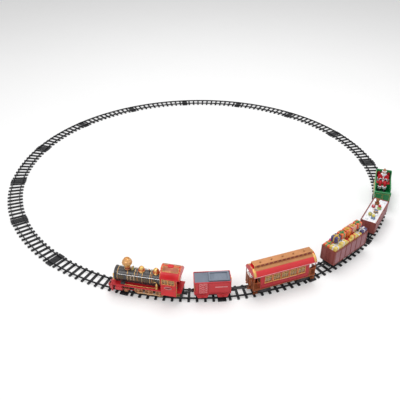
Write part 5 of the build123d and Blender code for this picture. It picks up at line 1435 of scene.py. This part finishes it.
def toys(values):
    z = values["snowTop"]
    furBrown = plastic("furBrown", (0.3, 0.14, 0.05), rough=0.8, grain=0.6, coat=0.0, grainScale=600.0,
                       wear=0.1)
    eyeBlack = plastic("eyeBlack", (0.02, 0.015, 0.015), rough=0.2)
    toyRed = plastic("toyRed", (0.55, 0.02, 0.03), rough=0.35)
    toyBlue = plastic("toyBlue", (0.12, 0.2, 0.36), rough=0.35)
    toyYellow = plastic("toyYellow", (0.66, 0.56, 0.1), rough=0.35)
    toyGreen = plastic("toyGreen", (0.3, 0.45, 0.1), rough=0.35)
    fur, face, bow = bear(-48.0, -6.0, z)
    addPiece("toy_bear_fur", fur, "toy_wagon", furBrown, bevel=0)
    addPiece("toy_bear_face", face, "toy_wagon", eyeBlack, bevel=0)
    addPiece("toy_bear_bow", bow, "toy_wagon", toyRed, bevel=0)
    for name, x, y, first, second in (("rear", -18.0, -12.0, toyRed, whitePaint),
                                      ("front", 40.0, -8.0, toyYellow, toyBlue)):
        ball = Shape()
        ball.ball((x, y, z + 7.0), 7.4, rings=20, segments=28)
        addPiece(f"toy_ball_{name}", ball, "toy_wagon", first, bevel=0)
        band = Shape()
        for tilt in (0.0, 60.0, 120.0):
            ring = []
            for i in range(36):
                turn = 2 * pi * i / 36
                ring.append((x + 7.4 * cos(turn) * cos(radians(tilt)),
                             y + 7.4 * cos(turn) * sin(radians(tilt)), z + 7.0 + 7.4 * sin(turn)))
            band.tube(ring, 0.5, sides=6, closed=True)
        addPiece(f"toy_ball_{name}_bands", band, "toy_wagon", second, bevel=0)
    drum = Shape()
    x, y = 12.0, 6.0
    drum.lathe([(7.7, z - 0.5), (7.7, z + 11.4), (0, 11.6 + z)], Matrix.Translation((x, y, 0)), 40)
    addPiece("toy_drum_shell", drum, "toy_wagon", toyBlue, bevel=0.2)
    trim = Shape()
    for height in (z + 0.8, z + 11.4):
        trim.tube(flatRing(x, y, height, 8.0, 40), 0.9, sides=8, closed=True)
    for i in range(12):
        a, b = 2 * pi * i / 12, 2 * pi * (i + 0.5) / 12
        trim.tube([(x + 8.0 * cos(a), y + 8.0 * sin(a), z + 11.0),
                   (x + 8.0 * cos(b), y + 8.0 * sin(b), z + 1.0)], 0.35, sides=6)
        trim.tube([(x + 8.0 * cos(b), y + 8.0 * sin(b), z + 1.0),
                   (x + 8.0 * cos(a + 2 * pi / 12), y + 8.0 * sin(a + 2 * pi / 12), z + 11.0)], 0.35, sides=6)
    addPiece("toy_drum_trim", trim, "toy_wagon", gold, bevel=0)
    for name, x, y, low, high in (("rear", -20.0, 10.0, toyGreen, toyRed),
                                  ("front", 56.0, 8.0, toyBlue, toyYellow)):
        lower = Shape()
        lower.block((x - 7.0, y - 7.0, z), (x + 7.0, y + 7.0, z + 9.0))
        addPiece(f"toy_block_{name}_low", lower, "toy_wagon", low, bevel=0.9)
        turn = Matrix.Translation((x, y, z + 9.0)) @ Matrix.Rotation(radians(30), 4, "Z")
        upper = Shape()
        upper.slab([(-4.5, -4.5), (4.5, -4.5), (4.5, 4.5), (-4.5, 4.5)], 8.0, turn)
        addPiece(f"toy_block_{name}_high", upper, "toy_wagon", high, bevel=0.8)
        marks = Shape()
        for side in (-1, 1):
            marks.tube([(x + side * 7.1, y + 4 * cos(2 * pi * i / 5), z + 4.5 + 3.4 * sin(2 * pi * i / 5))
                        for i in range(5)], 0.4, sides=6, closed=True)
            marks.tube([(x + 4 * cos(2 * pi * i / 3), y + side * 7.1, z + 4.5 + 3.4 * sin(2 * pi * i / 3))
                        for i in range(3)], 0.4, sides=6, closed=True)
        addPiece(f"toy_block_{name}_marks", marks, "toy_wagon", whitePaint, bevel=0)


paint("toy_wagon_body", goodsRed)
wagonSides("toy_wagon", toyValues)
snowPiece = snowBed(toyValues)
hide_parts("toy_wagon_load")
toys(toyValues)
print("stage: toy wagon")

sleighValues = {"half": 75.0, "sideY": 31.0, "frontTop": 77.0, "backTop": 100.0, "seat": 60.0,
                "railY": 29.6, "figureX": -52.0, "headLift": 41.5}


def sleighTrim(values):
    y, half = values["sideY"], values["half"]
    rim = Shape()
    for side in (-1, 1):
        path = []
        for i in range(49):
            x = half - 1.0 - (2 * half - 2.0) * i / 48
            path.append((x, side * (y - 1.0), dropOn("sleigh_body", "sleigh", x, side * (y - 1.0)) + 0.2))
        rim.tube(path, 1.3, sides=10)
        curl = [(half - 1.0 + 7.5 * (1 - i / 30) * sin(i / 22 * 2 * pi) * 0.8 - 6.0, side * (y + 0.2),
                 values["frontTop"] - 12.0 + 8.0 * (1 - i / 30) * cos(i / 22 * 2 * pi)) for i in range(23)]
        rim.tube(curl, [1.0 - 0.02 * i for i in range(23)], sides=8)
    rim.tube([(half - 0.5, -y + 0.8, values["frontTop"]), (half - 0.5, y - 0.8, values["frontTop"])], 1.2,
             sides=10)
    rim.tube([(-half + 0.8, -y + 0.8, values["backTop"]), (-half + 0.8, 0, values["backTop"] + 1.0),
              (-half + 0.8, y - 0.8, values["backTop"])], 1.3, sides=10)
    addPiece("sleigh_rim", rim, "sleigh", leafGreen, bevel=0)
    gilt = Shape()
    for side in (-1, 1):
        lineLoop(gilt, side, y + 0.1, -66.0, 34.0, 35.0, 62.0, 0.5)
        for centre, way in ((-34.0, 1), (2.0, -1)):
            path = []
            for i in range(26):
                turn = i / 25 * 2.4 * pi
                size = 9.0 * (1 - i / 30)
                path.append((centre + way * size * cos(turn), side * (y + 0.1), 48.5 + size * sin(turn)))
            gilt.tube(path, [0.8 - 0.02 * i for i in range(26)], sides=6)
        gilt.tube([(-30.0 + 30.0 * i / 16, side * (y + 0.1), 57.0 - 2.5 * sin(pi * i / 16))
                   for i in range(17)], 0.6, sides=6)
        gilt.tube([(-58.0, side * (y + 0.1), 70.0), (-62.0, side * (y + 0.1), 80.0),
                   (-63.0, side * (y + 0.1), 90.0), (-69.0, side * (y + 0.1), 94.0)],
                  0.6, sides=6)
    for y0, y1 in ((-27.0, -2.0), (2.0, 27.0)):
        corners = ((y0, 37.0), (y1, 37.0), (y1, 70.0), (y0, 70.0))
        gilt.tube([(half + 0.1, yy, zz) for yy, zz in corners], 0.5, sides=6, closed=True)
    addPiece("sleigh_scrolls", gilt, "sleigh", gold, bevel=0)
    pad = Shape()
    pad.block((-68.6, -28.0, 60.2), (-24.0, 28.0, 62.0))
    for i in range(4):
        pad.ball((-68.2, -20.0 + 13.3 * i, 80.0), (1.4, 6.2, 14.0), rings=10, segments=18)
    addPiece("sleigh_cushion", pad, "sleigh", coatRed, bevel=0.8)
    rail = Shape()
    for side in (-1, 1):
        rail.tube([(46.0, side * values["railY"], 70.0), (46.0, side * values["railY"], 80.0),
                   (40.0, side * values["railY"], 83.0),
                   (-20.0, side * values["railY"], 84.0),
                   (-36.0, side * values["railY"], 86.0)], 1.1, sides=10)
        for x in (30.0, 10.0, -10.0):
            rail.tube([(x, side * values["railY"], 68.0), (x, side * values["railY"], 83.6)], 0.9, sides=8)
    addPiece("sleigh_rails", rail, "sleigh", leafGreen, bevel=0)


def loftBody(shape, sections, sides=28):
    # sections: (z, centre x, centre y, half x, half y), joined in rings.
    points = []
    for z, cx, cy, rx, ry in sections:
        for i in range(sides):
            turn = 2 * pi * i / sides
            points.append((cx + rx * cos(turn), cy + ry * sin(turn), z))
    faces = []
    for k in range(len(sections) - 1):
        a, b = k * sides, (k + 1) * sides
        faces += [(a + i, a + (i + 1) % sides, b + (i + 1) % sides, b + i) for i in range(sides)]
    faces += [tuple(reversed(range(sides))), tuple((len(sections) - 1) * sides + i for i in range(sides))]
    shape.add(points, faces)


def seatedFigure(values):
    # A calm generic figure of the builder's own: long coat, fur trim, full beard, soft cap.
    seat = values["seat"]
    x = values["figureX"]
    coat = Shape()
    loftBody(coat, [(seat + 1.0, x, 0, 15.5, 21.5), (seat + 7.0, x, 0, 16.0, 22.5),
                    (seat + 16.0, x, 0, 15.5, 21.0),
                    (seat + 24.0, x - 0.5, 0, 13.5, 19.0), (seat + 30.0, x - 1.0, 0, 10.5, 16.5),
                    (seat + 34.0, x - 1.0, 0, 6.5, 9.0)])
    for side in (-1, 1):
        coat.tube([(x - 1, side * 14.0, seat + 29.0), (x + 3, side * 18.5, seat + 21.0),
                   (x + 9, side * 18.0, seat + 13.5), (x + 17, side * 11.0, seat + 14.5)],
                  [5.2, 5.4, 4.8, 4.0], sides=16)
        coat.tube([(x + 4, side * 8.5, seat + 6.5), (x + 20, side * 9.5, seat + 7.5),
                   (x + 30, side * 9.5, seat + 5.0), (x + 34, side * 9.5, seat - 6.0),
                   (x + 35, side * 9.5, seat - 16.0)], [8.0, 7.4, 6.8, 6.2, 5.6], sides=18)
    piece = addPiece("figure_coat", coat, "sleigh", coatRed, bevel=0, subdivide=1)
    trim = Shape()
    for side in (-1, 1):
        cuff = [(x + 17 + 0.3 * cos(t), side * 11.0 + 4.4 * sin(t), seat + 14.5 + 4.4 * cos(t))
                for t in turns(18)]
        trim.tube(cuff, 1.9, sides=10, closed=True)
        for drop, reach in ((15.0, 6.2), (8.0, 6.6)):
            band = flatRing(x + 35, side * 9.5, seat - drop, reach, 18)
            trim.tube(band, 2.1, sides=10, closed=True)
    trim.tube([(x + 14.4, 0, seat + 5.0), (x + 14.8, 0, seat + 14.0), (x + 13.0, 0, seat + 24.0)], 2.0,
              sides=10)
    collar = flatRing(x + 0.5, 0, seat + 33.0, 7.4, 24, 9.4)
    trim.tube(collar, 2.4, sides=10, closed=True)
    for lift, reach in ((3.2, 22.2), (10.0, 22.4)):
        hem = flatRing(x, 0, seat + lift, reach - 6.0, 32, reach)
        trim.tube(hem, 2.2, sides=10, closed=True)
    addPiece("figure_trim", trim, "sleigh", furWhite, bevel=0)
    belt = Shape()
    belt.tube(flatRing(x, 0, seat + 16.0, 14.8, 32, 18.6), 1.7, sides=8, closed=True, flat=0.5)
    for side in (-1, 1):
        belt.ball((x + 41.0, side * 9.5, seat - 24.5), (9.5, 5.4, 4.6), rings=12, segments=20)
        belt.tube([(x + 35.0, side * 9.5, seat - 16.0), (x + 35.0, side * 9.5, seat - 25.0)], [6.0, 5.6],
                  sides=16)
        belt.ball((x + 20.5, side * 9.0, seat + 15.0), (4.4, 3.8, 4.0), rings=12, segments=16)
    addPiece("figure_boots", belt, "sleigh", bootBlack, bevel=0)
    buckle = Shape()
    buckle.tube([(x + 15.9, yy, zz) for yy, zz in ((-2.6, seat + 14.0), (2.6, seat + 14.0),
                                                   (2.6, seat + 18.0), (-2.6, seat + 18.0))], 0.5, sides=6,
                                                   closed=True)
    addPiece("figure_buckle", buckle, "sleigh", gold, bevel=0)
    head = Shape()
    hx, hz = x + 1.0, seat + values["headLift"]
    head.ball((hx, 0, hz), (7.6, 7.0, 8.4), rings=20, segments=28)
    head.ball((hx + 7.6, 0, hz - 0.6), (1.7, 1.3, 1.5), rings=10, segments=14)
    for side in (-1, 1):
        head.ball((hx + 5.4, side * 3.4, hz - 1.6), (2.0, 2.0, 1.6), rings=10, segments=14)
        head.ball((hx - 0.4, side * 7.0, hz), (1.4, 0.9, 2.0), rings=10, segments=12)
    addPiece("figure_head", head, "sleigh", skin, bevel=0, subdivide=1)
    eyes = Shape()
    for side in (-1, 1):
        eyes.ball((hx + 6.9, side * 2.7, hz + 1.7), (0.6, 0.8, 0.6), rings=8, segments=10)
    addPiece("figure_eyes", eyes, "sleigh", bootBlack, bevel=0)
    beard = Shape()
    loftBody(beard, [(hz - 18.0, hx + 9.0, 0, 1.0, 1.4), (hz - 14.0, hx + 8.5, 0, 3.4, 5.0),
                     (hz - 9.0, hx + 6.6, 0, 5.0, 7.6),
                     (hz - 5.0, hx + 4.2, 0, 6.0, 8.4), (hz - 3.0, hx + 2.4, 0, 6.4, 8.0),
                     (hz - 1.8, hx + 1.0, 0, 5.6, 7.2)])
    for side in (-1, 1):
        beard.tube([(hx + 8.2, side * 0.4, hz - 2.6), (hx + 8.0, side * 3.0, hz - 3.4),
                    (hx + 6.4, side * 5.6, hz - 5.4)], [1.5, 1.4, 0.5], sides=10)
        beard.tube([(hx + 7.0, side * 1.5, hz + 3.7), (hx + 6.9, side * 3.6, hz + 3.9)], [0.6, 0.5], sides=8)
        for strand in range(6):
            yy = side * (1.0 + 1.25 * strand)
            beard.tube([(hx + 8.6 - 0.32 * strand, yy, hz - 5.0),
                        (hx + 11.4 - 0.55 * strand, yy * 0.85, hz - 10.5),
                        (hx + 9.8 - 0.2 * strand, yy * 0.4, hz - 16.5)], [0.9, 1.2, 0.5], sides=8)
    addPiece("figure_beard", beard, "sleigh", furWhite, bevel=0, subdivide=1)
    cap = Shape()
    loftBody(cap, [(hz + 4.6, hx - 0.4, 0, 8.2, 7.8), (hz + 8.0, hx - 1.2, 0, 7.6, 7.2),
                   (hz + 11.5, hx - 3.2, 0, 5.4, 5.2),
                   (hz + 13.6, hx - 6.4, 0, 3.0, 3.0), (hz + 12.8, hx - 9.0, 0.6, 1.4, 1.6)])
    addPiece("figure_cap", cap, "sleigh", plastic("capTan", (0.42, 0.2, 0.12), rough=0.6, grain=0.3,
                                                  coat=0.0), bevel=0, subdivide=1)
    brim = Shape()
    brim.tube([(hx - 0.2 + 8.0 * cos(t), 7.6 * sin(t), hz + 4.8 + 0.5 * cos(t)) for t in turns(28)], 2.1,
              sides=12, closed=True)
    brim.ball((hx - 10.4, 0.8, hz + 10.8), 2.4, rings=10, segments=14, ruffle=0.15, seed=4)
    addPiece("figure_cap_fur", brim, "sleigh", furWhite, bevel=0)
    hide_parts("seated_figure")


paint("sleigh_body", sleighGreen)
sleighTrim(sleighValues)
seatedFigure(sleighValues)
print("stage: sleigh wagon")

stageValues = {"floorSize": 14.0, "floorGap": 0.0005, "floorColour": 0.8, "floorSeen": 0.22, "ambient": 0.42,
               "keyPower": 34.0,
               "fillPower": 9.0,
               "topPower": 62.0}


def seenRay(tree, path):
    # One where a ray comes from the camera, a mirror or clear glass.
    total = path.outputs["Is Camera Ray"]
    for name in ("Is Glossy Ray", "Is Transmission Ray"):
        most = tree.nodes.new("ShaderNodeMath")
        most.operation = "MAXIMUM"
        tree.links.new(total, most.inputs[0])
        tree.links.new(path.outputs[name], most.inputs[1])
        total = most.outputs["Value"]
    return total


def addFloor(values):
    mesh = bpy.data.meshes.new("floor")
    half = values["floorSize"] / 2
    below = -values["floorGap"]
    corners = [(x, y, below) for x, y in ((-half, -half), (half, -half), (half, half), (-half, half))]
    mesh.from_pydata(corners, [], [(0, 1, 2, 3)])
    floor = bpy.data.objects.new("floor", mesh)
    bpy.context.collection.objects.link(floor)
    material, tree, shader = newMaterial("floorPaint")
    tint = rampNode(tree, noiseNode(tree, 3.0).outputs["Fac"],
                    [(0.3, (values["floorColour"] - 0.01,) * 3), (0.7, (values["floorColour"],) * 3)])
    tree.links.new(tint.outputs["Color"], shader.inputs["Base Color"])
    shader.inputs["Roughness"].default_value = 0.9
    shader.inputs["Specular IOR Level"].default_value = 0.1
    # The camera sees the floor a little lighter than it lights the set.
    path = addNode(tree, "ShaderNodeLightPath")
    lift = addNode(tree, "ShaderNodeMath", operation="MULTIPLY")
    lift.inputs[1].default_value = values["floorSeen"]
    tree.links.new(seenRay(tree, path), lift.inputs[0])
    shader.inputs["Emission Color"].default_value = (1.0, 1.0, 1.0, 1.0)
    tree.links.new(lift.outputs["Value"], shader.inputs["Emission Strength"])
    mesh.materials.append(material)


def addLight(name, place, aim, size, power):
    data = bpy.data.lights.new(name, "AREA")
    data.shape = "SQUARE"
    data.size = size
    data.energy = power
    light = bpy.data.objects.new(name, data)
    light.location = place
    light.rotation_euler = (Vector(aim) - Vector(place)).to_track_quat("-Z", "Y").to_euler()
    bpy.context.collection.objects.link(light)


def addWorld(values):
    world = bpy.data.worlds.new("world")
    bpy.context.scene.world = world
    world.use_nodes = True
    tree = world.node_tree
    tree.nodes.clear()
    output = tree.nodes.new("ShaderNodeOutputWorld")
    path = tree.nodes.new("ShaderNodeLightPath")
    lit, seen = (tree.nodes.new("ShaderNodeBackground") for _ in range(2))
    for node, strength in ((lit, values["ambient"]), (seen, 1.0)):
        node.inputs["Color"].default_value = (1, 1, 1, 1)
        node.inputs["Strength"].default_value = strength
    mix = tree.nodes.new("ShaderNodeMixShader")
    tree.links.new(seenRay(tree, path), mix.inputs["Fac"])
    tree.links.new(lit.outputs["Background"], mix.inputs[1])
    tree.links.new(seen.outputs["Background"], mix.inputs[2])
    tree.links.new(mix.outputs["Shader"], output.inputs["Surface"])


addFloor(stageValues)
for name, place, aim, size in (("key", (-1.6, -2.6, 2.8), (0, -0.3, 0), 1.6),
                               ("fill", (2.4, -1.6, 2.0), (0.3, 0, 0), 2.0),
                               ("top", (0.2, 0.4, 3.2), (0, 0, 0), 2.4)):
    addLight(name, place, aim, size, stageValues[name + "Power"])
addWorld(stageValues)
bpy.context.scene.view_settings.view_transform = "Standard"
print("stage: light")
